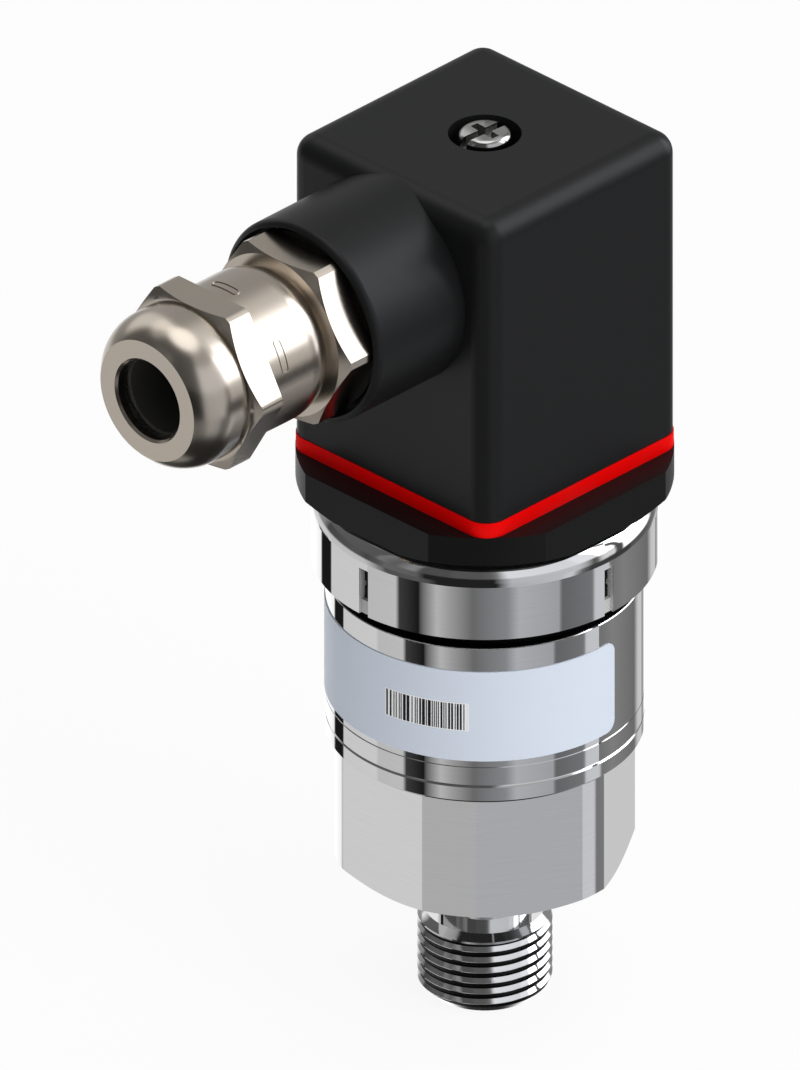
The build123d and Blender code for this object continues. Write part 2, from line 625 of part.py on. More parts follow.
def gland_body():
    """The gland's fixed body: screwed stub, hexagon, barrel and the stub for the nut."""
    thread_start = SPOUT_FLOOR - GLAND_THREAD_LENGTH
    insert_start = STUB_END - INSERT_SEAT_LENGTH
    stem = turned(
        (0, thread_start), (GLAND_THREAD_D / 2, thread_start), (GLAND_THREAD_D / 2, GLAND_HEX_START),
        (0, GLAND_HEX_START),
    )
    spanner_hex = chamfered_hexagon(
        GLAND_AF, GLAND_CORNER_D, GLAND_HEX_START, GLAND_HEX_END, GLAND_CHAMFER_ANGLE, lower=False
    )
    barrel = crowned(
        BARREL_D / 2, BARREL_D / 2 - BARREL_ROOT_DROP,
        BARREL_END, GLAND_HEX_END + BARREL_ROOT_LENGTH, GLAND_HEX_END,
    )
    barrel = barrel + rod(GLAND_STUB_D, BARREL_END, STUB_END)
    bore = turned(
        (0, thread_start), (GLAND_BORE_D / 2, thread_start), (GLAND_BORE_D / 2, insert_start),
        (GLAND_INSERT_BORE_D / 2, insert_start), (GLAND_INSERT_BORE_D / 2, STUB_END), (0, STUB_END),
    )
    return GLAND_FRAME.location * (stem + spanner_hex + barrel - bore)


def gland_seal():
    """The flat seal between the gland's hexagon and the spout's recess."""
    ring = tube(GLAND_SEAL_D, GLAND_THREAD_D + 2 * RUNNING_CLEARANCE, SPOUT_FLOOR, GLAND_HEX_START)
    return GLAND_FRAME.location * ring


def gland_insert():
    """The rubber sleeve that grips the cable, with a flared collar on the stub's end."""
    start = STUB_END - INSERT_SEAT_LENGTH
    outer = GLAND_INSERT_BORE_D / 2 - RUNNING_CLEARANCE
    collar = THRUST_RING_D / 2
    sleeve = turned(
        (CABLE_BORE_D / 2, start), (outer, start), (outer, STUB_END), (collar, STUB_END),
        (collar, THRUST_RING_START), (CABLE_BORE_D / 2, THRUST_RING_START),
    )
    return GLAND_FRAME.location * sleeve


def gland_washer():
    """The thrust ring between the nut's end wall and the rubber sleeve."""
    end = THRUST_RING_START + THRUST_RING_THICKNESS
    return GLAND_FRAME.location * tube(THRUST_RING_D, NUT_HOLE_D, THRUST_RING_START, end)


def gland_nut():
    """The domed nut: hexagon, crown and a flat face with the cable hole."""
    hex_end = BARREL_END + NUT_HEX_THICKNESS
    dome = crowned(
        NUT_DOME_D / 2, NUT_FACE_D / 2, BARREL_END, NUT_FACE - NUT_CROWN_LENGTH, NUT_FACE
    )
    spanner_hex = chamfered_hexagon(
        GLAND_AF, GLAND_CORNER_D, BARREL_END, hex_end, GLAND_CHAMFER_ANGLE
    )
    thread_r = GLAND_STUB_D / 2 + RUNNING_CLEARANCE
    ring_r = THRUST_RING_D / 2 + SLIDE_CLEARANCE
    thread_end = STUB_END + SEAT_CLEARANCE
    socket_end = THRUST_RING_START + THRUST_RING_THICKNESS
    bore = turned(
        (0, BARREL_END), (thread_r, BARREL_END), (thread_r, thread_end), (ring_r, thread_end),
        (ring_r, socket_end), (NUT_HOLE_D / 2, socket_end),
        (NUT_HOLE_D / 2, NUT_FACE - NUT_HOLE_CHAMFER), (NUT_HOLE_D / 2 + NUT_HOLE_CHAMFER, NUT_FACE),
        (0, NUT_FACE),
    )
    return GLAND_FRAME.location * (dome + spanner_hex - bore)


def pressure_cell():
    """The welded cell: a cup whose thin top is the membrane."""
    outer = CELL_D / 2
    inner = CELL_BORE_D / 2
    return turned(
        (inner, CELL_BOTTOM), (CELL_BOSS_D / 2, CELL_BOTTOM),
        (CELL_BOSS_D / 2, CELL_BOTTOM + CELL_FLANGE_HEIGHT), (outer, CELL_BOTTOM + CELL_FLANGE_HEIGHT),
        (outer, CELL_TOP), (0, CELL_TOP), (0, CELL_TOP - CELL_MEMBRANE), (inner, CELL_TOP - CELL_MEMBRANE),
    )


def strain_chip():
    """The gauge chip on the membrane."""
    return slab(CHIP_SIZE, CHIP_SIZE, CELL_TOP, CELL_TOP + CHIP_THICKNESS)


def board_support():
    """The plastic ring that stands on the port's spigot and carries the round board."""
    outer = CAN_D - 2 * CAN_WALL - 2 * BOARD_PLAY
    return tube(outer, outer - 2 * BOARD_SUPPORT_WIDTH, SPIGOT_TOP, CELL_TOP - BOARD_THICKNESS)


def cell_board():
    """The round board that surrounds the pressure cell."""
    outer = CAN_D - 2 * CAN_WALL - 2 * BOARD_PLAY
    return tube(outer, CELL_D + 2 * BOARD_PLAY, CELL_TOP - BOARD_THICKNESS, CELL_TOP)


def signal_board():
    """The upright board with the amplifier, standing on the round board."""
    board = slab(SIGNAL_BOARD_WIDTH, SIGNAL_BOARD_THICKNESS, CELL_TOP, SIGNAL_BOARD_TOP)
    return Pos(0, SIGNAL_BOARD_OFFSET, 0) * board


def on_signal_board(width, height, thickness, sideways):
    """A small block on the upright board's face, at one sideways place."""
    face = SIGNAL_BOARD_OFFSET - SIGNAL_BOARD_THICKNESS / 2
    middle = SIGNAL_BOARD_TOP - BOARD_PART_DROP
    return Pos(sideways, face, middle) * Box(
        width, thickness, height, align=(Align.CENTER, Align.MAX, Align.CENTER)
    )


def amplifier_chip():
    """The amplifier on the upright board."""
    return on_signal_board(AMPLIFIER_WIDTH, AMPLIFIER_HEIGHT, AMPLIFIER_THICKNESS, 0)


def capacitors():
    """The small capacitors in a row beside the amplifier."""
    first = AMPLIFIER_WIDTH / 2 + CAPACITOR_PITCH / 2
    places = [first + CAPACITOR_PITCH * index for index in range(CAPACITOR_COUNT)]
    return Compound([
        on_signal_board(CAPACITOR_WIDTH, CAPACITOR_HEIGHT, CAPACITOR_THICKNESS, place).solid()
        for place in places
    ])


def lead(index):
    """The wire from one tab's tail down and across to the upright board."""
    angle = radians(360 / len(CONTACTS) * index)
    x = TAB_CIRCLE_D / 2 * cos(angle)
    y = TAB_CIRCLE_D / 2 * sin(angle)
    side = 1 if y > SIGNAL_BOARD_OFFSET else -1
    face = SIGNAL_BOARD_OFFSET + side * SIGNAL_BOARD_THICKNESS / 2
    level = SIGNAL_BOARD_TOP - LEAD_DROP
    route = FilletPolyline((x, y, TAB_END), (x, y, level), (x, face, level), radius=LEAD_BEND_R)
    section = Plane(origin=(x, y, TAB_END), z_dir=(0, 0, -1)) * Circle(LEAD_D / 2)
    return sweep(section, path=route)


def lead_wires():
    """The four wires between the tabs and the upright board."""
    return Compound([lead(index).solid() for index in range(len(CONTACTS))])


PARTS = {
    "port_body": port_body,
    "housing_can": housing_can,
    "label": label,
    "collar_ring": collar_ring,
    "connector_base": connector_base,
    "base_seal": base_seal,
    "nut_insert": nut_insert,
    "profile_gasket": profile_gasket,
    "hood": hood,
    "hood_screw": hood_screw,
    "screw_seal": screw_seal,
    "contact_block": contact_block,
    "terminal_screws": terminal_screws,
    "gland_body": gland_body,
    "gland_seal": gland_seal,
    "gland_insert": gland_insert,
    "gland_washer": gland_washer,
    "gland_nut": gland_nut,
    "pressure_cell": pressure_cell,
    "strain_chip": strain_chip,
    "board_support": board_support,
    "cell_board": cell_board,
    "signal_board": signal_board,
    "amplifier_chip": amplifier_chip,
    "capacitors": capacitors,
    "lead_wires": lead_wires,
}

os.makedirs("parts", exist_ok=True)
for name, make in PARTS.items():
    export_step(make(), f"parts/{name}.step")
for index, contact in enumerate(CONTACTS):
    export_step(on_tab_circle(tab(), index), f"parts/tab_{contact}.step")
    export_step(on_tab_circle(terminal(), index), f"parts/terminal_{contact}.step")
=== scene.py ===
"""Looks for the pressure transmitter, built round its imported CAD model.

The photograph is a parallel view from 30 degrees above the horizon, with the cable gland
towards the lower left. Most pieces are the CAD solids with a finish of their own. Copies of
three solids stand in for them: the port with its thread cut, the gland's nut with a square
back, and the central screw with a taller head. The label gets its print here, and the
gland's barrel its two cast marks.
"""
from __future__ import annotations

import json
import logging
import math
import random
from collections import Counter
from collections.abc import Callable
from dataclasses import dataclass
from enum import Enum

import bpy
from mathutils import Matrix, Vector

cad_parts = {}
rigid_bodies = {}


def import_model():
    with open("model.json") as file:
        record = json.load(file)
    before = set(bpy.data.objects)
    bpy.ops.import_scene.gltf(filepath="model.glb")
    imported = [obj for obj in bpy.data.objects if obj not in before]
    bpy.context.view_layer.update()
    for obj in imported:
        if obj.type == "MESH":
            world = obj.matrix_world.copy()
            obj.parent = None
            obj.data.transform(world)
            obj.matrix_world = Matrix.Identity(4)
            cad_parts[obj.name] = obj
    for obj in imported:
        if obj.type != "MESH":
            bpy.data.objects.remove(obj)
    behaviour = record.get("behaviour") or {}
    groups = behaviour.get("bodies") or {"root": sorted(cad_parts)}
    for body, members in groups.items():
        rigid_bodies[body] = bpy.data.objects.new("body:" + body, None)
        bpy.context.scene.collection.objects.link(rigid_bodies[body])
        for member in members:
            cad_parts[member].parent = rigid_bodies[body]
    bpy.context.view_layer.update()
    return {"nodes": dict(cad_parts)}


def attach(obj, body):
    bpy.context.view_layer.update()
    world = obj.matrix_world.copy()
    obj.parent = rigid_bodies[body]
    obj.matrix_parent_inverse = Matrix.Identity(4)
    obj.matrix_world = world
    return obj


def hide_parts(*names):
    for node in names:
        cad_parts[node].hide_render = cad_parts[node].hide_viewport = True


LOG = logging.getLogger("transmitter")

Colour = tuple[float, float, float]
Point = tuple[float, float, float]
Piece = bpy.types.Object
Node = bpy.types.Node
Socket = bpy.types.NodeSocket

MM = 0.001
ORIGIN = (0.0, 0.0, 0.0)
BLACK = (0.0, 0.0, 0.0)
WHITE = (1.0, 1.0, 1.0)
NOISE_MIDDLE = 0.5

# The camera's place round the object, in degrees from -Y towards +X.
CAMERA_AZIMUTH = 44.33

# The port's thread: its pitch, and the height at which its groove starts on the +X side.
THREAD_PITCH_MM = 1.167
THREAD_START_MM = -6.137


class Body(Enum):
    """The moving bodies that new pieces ride on."""

    HOUSING = "housing"
    PLUG = "plug"
    GLAND_NUT = "gland_nut"
    HOOD_SCREW = "hood_screw"


class Value:
    """A number inside a shader: Python's operators on it add Math nodes."""

    def __init__(self, graph: Graph, socket: Socket) -> None:
        """Wrap an output socket of a node in the graph."""
        self.graph = graph
        self.socket = socket

    def _math(self, operation: str, first: Value | float, second: Value | float) -> Value:
        """Add one Math node with two inputs."""
        node = self.graph.add("ShaderNodeMath", {"operation": operation}, {0: first, 1: second})
        return Value(self.graph, node.outputs[0])

    def __add__(self, other: Value | float) -> Value:
        """Sum."""
        return self._math("ADD", self, other)

    __radd__ = __add__

    def __sub__(self, other: Value | float) -> Value:
        """Difference."""
        return self._math("SUBTRACT", self, other)

    def __rsub__(self, other: float) -> Value:
        """Difference from a plain number."""
        return self._math("SUBTRACT", other, self)

    def __mul__(self, other: Value | float) -> Value:
        """Product."""
        return self._math("MULTIPLY", self, other)

    __rmul__ = __mul__

    def __truediv__(self, other: Value | float) -> Value:
        """Quotient."""
        return self._math("DIVIDE", self, other)

    def __gt__(self, other: Value | float) -> Value:
        """One where this value is the greater, and zero elsewhere."""
        return self._math("GREATER_THAN", self, other)

    def __lt__(self, other: Value | float) -> Value:
        """One where this value is the lesser, and zero elsewhere."""
        return self._math("LESS_THAN", self, other)

    def wrapped(self) -> Value:
        """The part after the decimal point, from zero to one."""
        return self._math("FLOORED_MODULO", self, 1.0)

    def angle_from(self, other: Value) -> Value:
        """The angle of the point (other, self), in radians."""
        return self._math("ARCTAN2", self, other)

    def between(self, low: Value | float, high: Value | float) -> Value:
        """Zero at low, one at high and a smooth ramp between them."""
        node = self.graph.add(
            "ShaderNodeMapRange", {"interpolation_type": "SMOOTHSTEP"}, {0: self, 1: low, 2: high}
        )
        return Value(self.graph, node.outputs[0])


class Graph:
    """The nodes of one material or world."""

    def __init__(self, tree: bpy.types.NodeTree) -> None:
        """Start from an empty tree."""
        self.tree = tree
        tree.nodes.clear()

    def add(self, kind: str, settings: dict | None = None, inputs: dict | None = None) -> Node:
        """Add a node.

        Args:
            kind: The node's type.
            settings: Its properties, with a ramp's stops as (position, colour) pairs.
            inputs: What goes into its sockets, by name or number.

        Returns:
            The new node.
        """
        node = self.tree.nodes.new(kind)
        for name, value in (settings or {}).items():
            if name == "stops":
                self._set_stops(node.color_ramp, value)
            else:
                setattr(node, name, value)
        self.fill(node, inputs or {})
        return node

    def fill(self, node: Node, inputs: dict) -> None:
        """Set or link a node's sockets.

        Args:
            node: The node.
            inputs: A value, a link or a number for each socket, by its name or number.
        """
        for key, value in inputs.items():
            if isinstance(value, Value):
                value = value.socket
            if isinstance(value, Socket):
                self.tree.links.new(value, node.inputs[key])
            else:
                node.inputs[key].default_value = value

    @staticmethod
    def _set_stops(ramp: bpy.types.ColorRamp, stops: list[tuple[float, Colour]]) -> None:
        """Give a colour ramp its stops.

        Args:
            ramp: The ramp, as Blender makes it.
            stops: Each stop's position and colour, in order.
        """
        while len(ramp.elements) < len(stops):
            ramp.elements.new(1.0)
        for element, (position, colour) in zip(ramp.elements, stops):
            element.position = position
            element.color = (*colour, 1.0)

    def position(self) -> Socket:
        """The place on the piece, in metres."""
        return self.add("ShaderNodeTexCoord").outputs["Object"]

    def axes(self, vector: Socket) -> list[Value]:
        """The three parts of a vector."""
        node = self.add("ShaderNodeSeparateXYZ", inputs={0: vector})
        return [Value(self, part) for part in node.outputs]

    def radius(self, vector: Socket) -> Value:
        """How far a place is from the upright axis.

        Args:
            vector: The place.

        Returns:
            The distance, in metres.
        """
        inputs = {0: vector, 1: (1.0, 1.0, 0.0)}
        flat = self.add("ShaderNodeVectorMath", {"operation": "MULTIPLY"}, inputs)
        length = self.add("ShaderNodeVectorMath", {"operation": "LENGTH"}, {0: flat.outputs[0]})
        return Value(self, length.outputs["Value"])

    def noise(self, vector: Socket, size_mm: float | Point, detail: float = 2.0) -> Value:
        """Soft noise whose lumps have a size.

        Args:
            vector: The place on the piece.
            size_mm: How long a lump is, in millimetres: one length, or one along each axis.
            detail: How many finer layers are added.

        Returns:
            The noise, from zero to one.
        """
        sizes = size_mm if isinstance(size_mm, tuple) else (size_mm,) * 3
        scale = tuple(1 / (size * MM) for size in sizes)
        mapped = self.add("ShaderNodeMapping", inputs={"Vector": vector, "Scale": scale})
        texture = self.add(
            "ShaderNodeTexNoise", inputs={"Vector": mapped.outputs[0], "Scale": 1.0, "Detail": detail}
        )
        return Value(self, texture.outputs[0])

    def blend(self, factor: Value, first: Colour | Socket, second: Colour | Socket) -> Socket:
        """Mix two colours.

        Args:
            factor: Zero for the first colour, one for the second.
            first: A plain colour or a link.
            second: A plain colour or a link.

        Returns:
            The mixed colour.
        """
        ends = [(*end, 1.0) if isinstance(end, tuple) else end for end in (first, second)]
        node = self.add("ShaderNodeMix", {"data_type": "RGBA"}, {0: factor, 6: ends[0], 7: ends[1]})
        return node.outputs[2]

    def bump(self, height: Value, depth_mm: float) -> Socket:
        """A normal that follows a height, whose full range is so many millimetres."""
        inputs = {"Height": height, "Distance": depth_mm * MM, "Strength": 1.0}
        return self.add("ShaderNodeBump", inputs=inputs).outputs[0]


Links = dict[str, Value | Socket]


@dataclass(frozen=True)
class Finish:
    """What every finish has: a name, a colour and how it takes the light."""

    name: str
    colour: Colour
    roughness: float
    metallic: float = 0.0
    specular: float = 0.5

    def build(self) -> bpy.types.Material:
        """Make the material: the plain values first, then what changes over the surface.

        Returns:
            The new material.
        """
        material = bpy.data.materials.new(self.name)
        material.use_nodes = True
        graph = Graph(material.node_tree)
        shader = graph.add("ShaderNodeBsdfPrincipled", inputs={
            "Base Color": (*self.colour, 1.0),
            "Roughness": self.roughness,
            "Metallic": self.metallic,
            "Specular IOR Level": self.specular,
        })
        graph.fill(shader, self.detail(graph))
        graph.add("ShaderNodeOutputMaterial", inputs={"Surface": shader.outputs[0]})
        return material

    def detail(self, graph: Graph) -> Links:
        """What changes over the surface: nothing, unless a finish has a way of its own."""
        return {}


@dataclass(frozen=True)
class TurnedSteel(Finish):
    """Steel with fine tool lines that run round it and a faint cloudiness."""

    line_mm: float = 0.12
    line_run_mm: float = 6.0
    line_depth_mm: float = 0.0006
    streak: float = 0.10
    cloud: float = 0.04
    cloud_mm: Point = (5.0, 5.0, 3.0)
    # The zone's colour: a dull wall's tone on the collar, and painted shade, near black, where a
    # finish sets it so.
    dull_colour: Colour = (0.5, 0.5, 0.5)
    dull_roughness: float = 0.5
    dull_metallic: float = 1.0

    def dull_zone(self, graph: Graph, place: Socket) -> Value | None:
        """Where the collar's walls are left dull, and where the thread and the can's neck get painted
        shade: one there and zero elsewhere, or None for nowhere.
        """
        return None

    def detail(self, graph: Graph) -> Links:
        """Tool lines, a zone that is left dull or has painted shade, and a roughness that drifts a
        little.

        Args:
            graph: The material's nodes.

        Returns:
            What goes into the shader's sockets.
        """
        place = graph.position()
        lines = graph.noise(place, (self.line_run_mm, self.line_run_mm, self.line_mm), detail=3.0)
        clouds = graph.noise(place, self.cloud_mm)
        darker = tuple(part * (1 - self.streak) for part in self.colour)
        links = {
            "Base Color": graph.blend(lines, self.colour, darker),
            "Roughness": self.roughness + (clouds - NOISE_MIDDLE) * self.cloud,
            "Normal": graph.bump(lines, self.line_depth_mm),
        }
        # The zone takes a dull wall's tone on the collar, and painted shade on the thread and the
        # can's neck.
        dull = self.dull_zone(graph, place)
        if dull is not None:
            links["Base Color"] = graph.blend(dull, links["Base Color"], self.dull_colour)
            links["Roughness"] += dull * (self.dull_roughness - self.roughness)
            links["Metallic"] = self.metallic + dull * (self.dull_metallic - self.metallic)
        return links


@dataclass(frozen=True)
class CollarSteel(TurnedSteel):
    """Polished outside, with the sheared walls of its windows and grooves left dull."""

    skin_radius_mm: float = 16.8
    window_top_mm: float = 48.9

    def dull_zone(self, graph: Graph, place: Socket) -> Value:
        """Everything below the windows' tops that lies behind the polished skin."""
        height = graph.axes(place)[2]
        return (graph.radius(place) < self.skin_radius_mm * MM) * (height < self.window_top_mm * MM)


@dataclass(frozen=True)
class ThreadedSteel(TurnedSteel):
    """Turned steel with painted shade, near black, in its thread's root and on the downward-facing
    flank above it.
    """

    pitch_mm: float = THREAD_PITCH_MM
    start_mm: float = THREAD_START_MM
    bottom_mm: float = -4.2
    top_mm: float = 3.2
    inner_r_mm: float = 6.0
    outer_r_mm: float = 6.62
    root_share: float = 0.08
    flank_share: float = 0.5

    def dull_zone(self, graph: Graph, place: Socket) -> Value:
        """The root and the flank above it, on the thread alone.

        Args:
            graph: The material's nodes.
            place: The place on the piece.

        Returns:
            One on the oiled flanks and zero elsewhere.
        """
        x, y, z = graph.axes(place)
        radius = graph.radius(place)
        turns = y.angle_from(x) / math.tau
        pitches = (z - self.start_mm * MM) / (self.pitch_mm * MM)
        phase = (pitches - turns + self.root_share).wrapped()
        on_thread = (z > self.bottom_mm * MM) * (z < self.top_mm * MM)
        outside = (radius > self.inner_r_mm * MM) * (radius < self.outer_r_mm * MM)
        # Painted shade in the thread's grooves.
        return (phase < self.flank_share + self.root_share) * on_thread * outside


@dataclass(frozen=True)
class CanSteel(TurnedSteel):
    """Polished outside, with painted shade, near black, on its shoulder and neck under the collar."""

    shoulder_mm: float = 41.62

    def dull_zone(self, graph: Graph, place: Socket) -> Value:
        """Everything above the can's top edge, which gets the painted shade."""
        return graph.axes(place)[2] > self.shoulder_mm * MM


@dataclass(frozen=True)
class SatinNickel(Finish):
    """Nickel plate on a cast and turned fitting: satin, with a fine grain."""

    grain_mm: float = 0.13
    grain_depth_mm: float = 0.0010
    grain_gloss: float = 0.08
    patch_mm: float = 4.0
    warm: Colour = (0.53, 0.465, 0.385)

    def detail(self, graph: Graph) -> Links:
        """A fine grain, and a warmer tint in patches.

        Args:
            graph: The material's nodes.

        Returns:
            What goes into the shader's sockets.
        """
        place = graph.position()
        grain = graph.noise(place, self.grain_mm, detail=4.0)
        patches = graph.noise(place, self.patch_mm)
        return {
            "Base Color": graph.blend(patches, self.colour, self.warm),
            "Roughness": self.roughness + (grain - NOISE_MIDDLE) * self.grain_gloss,
            "Normal": graph.bump(grain, self.grain_depth_mm),
        }


@dataclass(frozen=True)
class MouldedPlastic(Finish):
    """Plastic from a spark-eroded mould: a very fine even texture."""

    grain_mm: float = 0.22
    grain_depth_mm: float = 0.004
    scuff: float = 0.06
    scuff_mm: Point = (7.0, 7.0, 5.0)

    def detail(self, graph: Graph) -> Links:
        """The mould's texture, and handling marks that show in the gloss alone.

        Args:
            graph: The material's nodes.

        Returns:
            What goes into the shader's sockets.
        """
        place = graph.position()
        grain = graph.noise(place, self.grain_mm, detail=3.0)
        scuffs = graph.noise(place, self.scuff_mm, detail=4.0)
        return {
            "Roughness": self.roughness + (scuffs - NOISE_MIDDLE) * self.scuff,
            "Normal": graph.bump(grain, self.grain_depth_mm),
        }


@dataclass(frozen=True)
class Rubber(Finish):
    """Soft rubber with a dull skin and a slight bloom."""

    grain_mm: float = 0.35
    grain_depth_mm: float = 0.006
    bloom: Colour = (0.6, 0.02, 0.02)
    bloom_mm: Point = (6.0, 6.0, 3.0)
    bloom_from: float = 0.45
    bloom_full: float = 0.8
    bloom_share: float = 0.5

    def detail(self, graph: Graph) -> Links:
        """The skin's grain and the bloom.

        Args:
            graph: The material's nodes.

        Returns:
            What goes into the shader's sockets.
        """
        place = graph.position()
        grain = graph.noise(place, self.grain_mm, detail=3.0)
        patches = graph.noise(place, self.bloom_mm)
        patches = patches.between(self.bloom_from, self.bloom_full)
        return {
            "Base Color": graph.blend(patches * self.bloom_share, self.colour, self.bloom),
            "Normal": graph.bump(grain, self.grain_depth_mm),
        }


@dataclass(frozen=True)
class LabelFilm(Finish):
    """Coated label film with a faint paper cloud."""

    cloud_mm: float = 3.0
    cloud_shade: float = 0.97
    cloud_gloss: float = 0.06

    def detail(self, graph: Graph) -> Links:
        """The cloud in the colour, and a slight unevenness of the coat.

        Args:
            graph: The material's nodes.

        Returns:
            What goes into the shader's sockets.
        """
        clouds = graph.noise(graph.position(), self.cloud_mm, detail=3.0)
        darker = tuple(part * self.cloud_shade for part in self.colour)
        return {
            "Base Color": graph.blend(clouds, self.colour, darker),
            "Roughness": self.roughness + (clouds - NOISE_MIDDLE) * self.cloud_gloss,
        }


@dataclass(frozen=True)
class PlatedMetal(Finish):
    """A small plated or plain metal part, with drawn lines and dulled patches."""

    dull: Colour = (0.4, 0.4, 0.4)
    line_mm: Point = (0.1, 0.1, 1.5)
    line_depth_mm: float = 0.001
    patch_mm: Point = (1.2, 1.2, 2.0)
    patch_from: float = 0.4
    patch_full: float = 0.9
    patch_gloss: float = 0.12

    def detail(self, graph: Graph) -> Links:
        """Dulled patches and fine lines.

        Args:
            graph: The material's nodes.

        Returns:
            What goes into the shader's sockets.
        """
        place = graph.position()
        patches = graph.noise(place, self.patch_mm, detail=3.0)
        patches = patches.between(self.patch_from, self.patch_full)
        lines = graph.noise(place, self.line_mm)
        return {
            "Base Color": graph.blend(patches, self.colour, self.dull),
            "Roughness": self.roughness + patches * self.patch_gloss,
            "Normal": graph.bump(lines, self.line_depth_mm),
        }


@dataclass(frozen=True)
class ScrewHeadSteel(PlatedMetal):
    """The central screw: its head shines like a slightly domed one, and its drive has painted shade.
    """

    head_r_mm: float = 2.8
    flat_r_mm: float = 2.05
    edge_mm: float = 0.05
    crown_mm: float = 0.60
    line_share: float = 0.004
    face_mm: float = 90.65
    edge_drop_mm: float = 0.8
    # Painted shade for the drive recess, and the roughness it adds.
    sooty: Colour = (0.30, 0.30, 0.28)
    sooty_gloss: float = 0.35

    def detail(self, graph: Graph) -> Links:
        """The head's crown in the surface, and painted shade in the drive below its face.

        Args:
            graph: The material's nodes.

        Returns:
            What goes into the shader's sockets.
        """
        place = graph.position()
        radius = graph.radius(place)
        part_way = radius / (self.head_r_mm * MM)
        lines = graph.noise(place, self.line_mm)
        rim = (radius > self.flat_r_mm * MM) * (self.edge_drop_mm * MM)
        below_face = graph.axes(place)[2] < self.face_mm * MM - rim
        sunk = below_face * (radius < (self.head_r_mm - self.edge_mm) * MM)
        return {
            # Painted shade in the drive recess.
            "Base Color": graph.blend(sunk, self.colour, self.sooty),
            "Roughness": self.roughness + sunk * self.sooty_gloss,
            "Normal": graph.bump(lines * self.line_share - part_way * part_way, self.crown_mm),
        }


@dataclass(frozen=True)
class BoardLaminate(Finish):
    """A lacquered circuit board with its glass weave and a few tracks."""

    track: Colour = (0.02, 0.13, 0.05)
    track_pitch_mm: float = 1.3
    track_from: float = 0.35
    track_to: float = 0.6
    break_mm: float = 2.5
    weave_mm: Point = (0.2, 0.2, 0.5)
    weave_depth_mm: float = 0.01

    def detail(self, graph: Graph) -> Links:
        """The weave in the surface, and the tracks in the colour.

        Args:
            graph: The material's nodes.

        Returns:
            What goes into the shader's sockets.
        """
        place = graph.position()
        across = (graph.axes(place)[0] / (self.track_pitch_mm * MM)).wrapped()
        unbroken = graph.noise(place, self.break_mm, detail=1.0) > NOISE_MIDDLE
        tracks = (across > self.track_from) * (across < self.track_to) * unbroken
        weave = graph.noise(place, self.weave_mm)
        return {
            "Base Color": graph.blend(tracks, self.colour, self.track),
            "Normal": graph.bump(weave + tracks, self.weave_depth_mm),
        }


class Palette:
    """Every finish of the object, each made once."""

    FINISHES = (
        TurnedSteel("turned_steel", (0.73, 0.73, 0.73), 0.05, 1.0),
        ThreadedSteel(
            # The thread's grooves get painted shade, near black.
            "port_steel", (0.74, 0.74, 0.74), 0.05, 1.0, dull_colour=(0.012, 0.012, 0.012),
        ),
        CollarSteel(
            "collar_steel", (0.73, 0.73, 0.73), 0.025, 1.0, line_depth_mm=0.00003, cloud=0.01,
            dull_metallic=0.0,
        ),
        CanSteel(
            "can_steel", (0.73, 0.73, 0.73), 0.025, 1.0, line_depth_mm=0.00003, cloud=0.01,
            # The shoulder and neck under the collar get painted shade, near black.
            dull_colour=(0.01, 0.01, 0.01),
        ),
        LabelFilm("label_film", (0.665, 0.725, 0.83), 0.42, specular=0.3),
        MouldedPlastic("black_plastic", (0.0060, 0.0061, 0.0065), 0.42, specular=0.15),
        MouldedPlastic("hood_plastic", (0.0083, 0.0086, 0.0092), 0.40, specular=0.20),
        Rubber("red_rubber", (0.80, 0.0, 0.0), 0.60, specular=0.05, bloom=(0.66, 0.01, 0.01)),
        Rubber("black_rubber", (0.010, 0.010, 0.010), 0.60, specular=0.2, bloom=(0.014, 0.014, 0.014)),
        Rubber("insert_rubber", (0.035, 0.034, 0.032), 0.35, specular=0.5, bloom=(0.05, 0.048, 0.045)),
        SatinNickel("nickel_brass", (0.50, 0.455, 0.405), 0.23, 1.0),
        PlatedMetal("brass", (0.70, 0.46, 0.18), 0.30, 1.0, dull=(0.50, 0.32, 0.12)),
        PlatedMetal("contact_metal", (0.72, 0.70, 0.66), 0.25, 1.0, dull=(0.55, 0.54, 0.52)),
        PlatedMetal("screw_steel", (0.72, 0.72, 0.73), 0.10, 1.0, dull=(0.62, 0.62, 0.63)),
        ScrewHeadSteel("head_steel", (0.40, 0.40, 0.39), 0.10, 1.0),
        BoardLaminate("circuit_board", (0.01, 0.075, 0.03), 0.32),
        MouldedPlastic("chip_black", (0.012, 0.012, 0.013), 0.45, specular=0.3),
        PlatedMetal("capacitor_tan", (0.30, 0.19, 0.09), 0.35, dull=(0.24, 0.15, 0.07)),
        Rubber("wire_red", (0.45, 0.02, 0.015), 0.40, specular=0.4, bloom=(0.40, 0.02, 0.015)),
        MouldedPlastic("print_black", (0.010, 0.010, 0.012), 0.45, specular=0.2),
        MouldedPlastic("print_white", (0.88, 0.89, 0.90), 0.45, specular=0.2),
    )

    def __init__(self) -> None:
        """Build all the materials."""
        self.materials = {finish.name: finish.build() for finish in self.FINISHES}

    def dress(self, piece: Piece, finish: str) -> None:
        """Give a piece, new or CAD, one finish all over.

        Args:
            piece: The piece.
            finish: The finish's name.
        """
        if not piece.material_slots:
            piece.data.materials.append(None)
        for slot in piece.material_slots:
            slot.material = self.materials[finish]


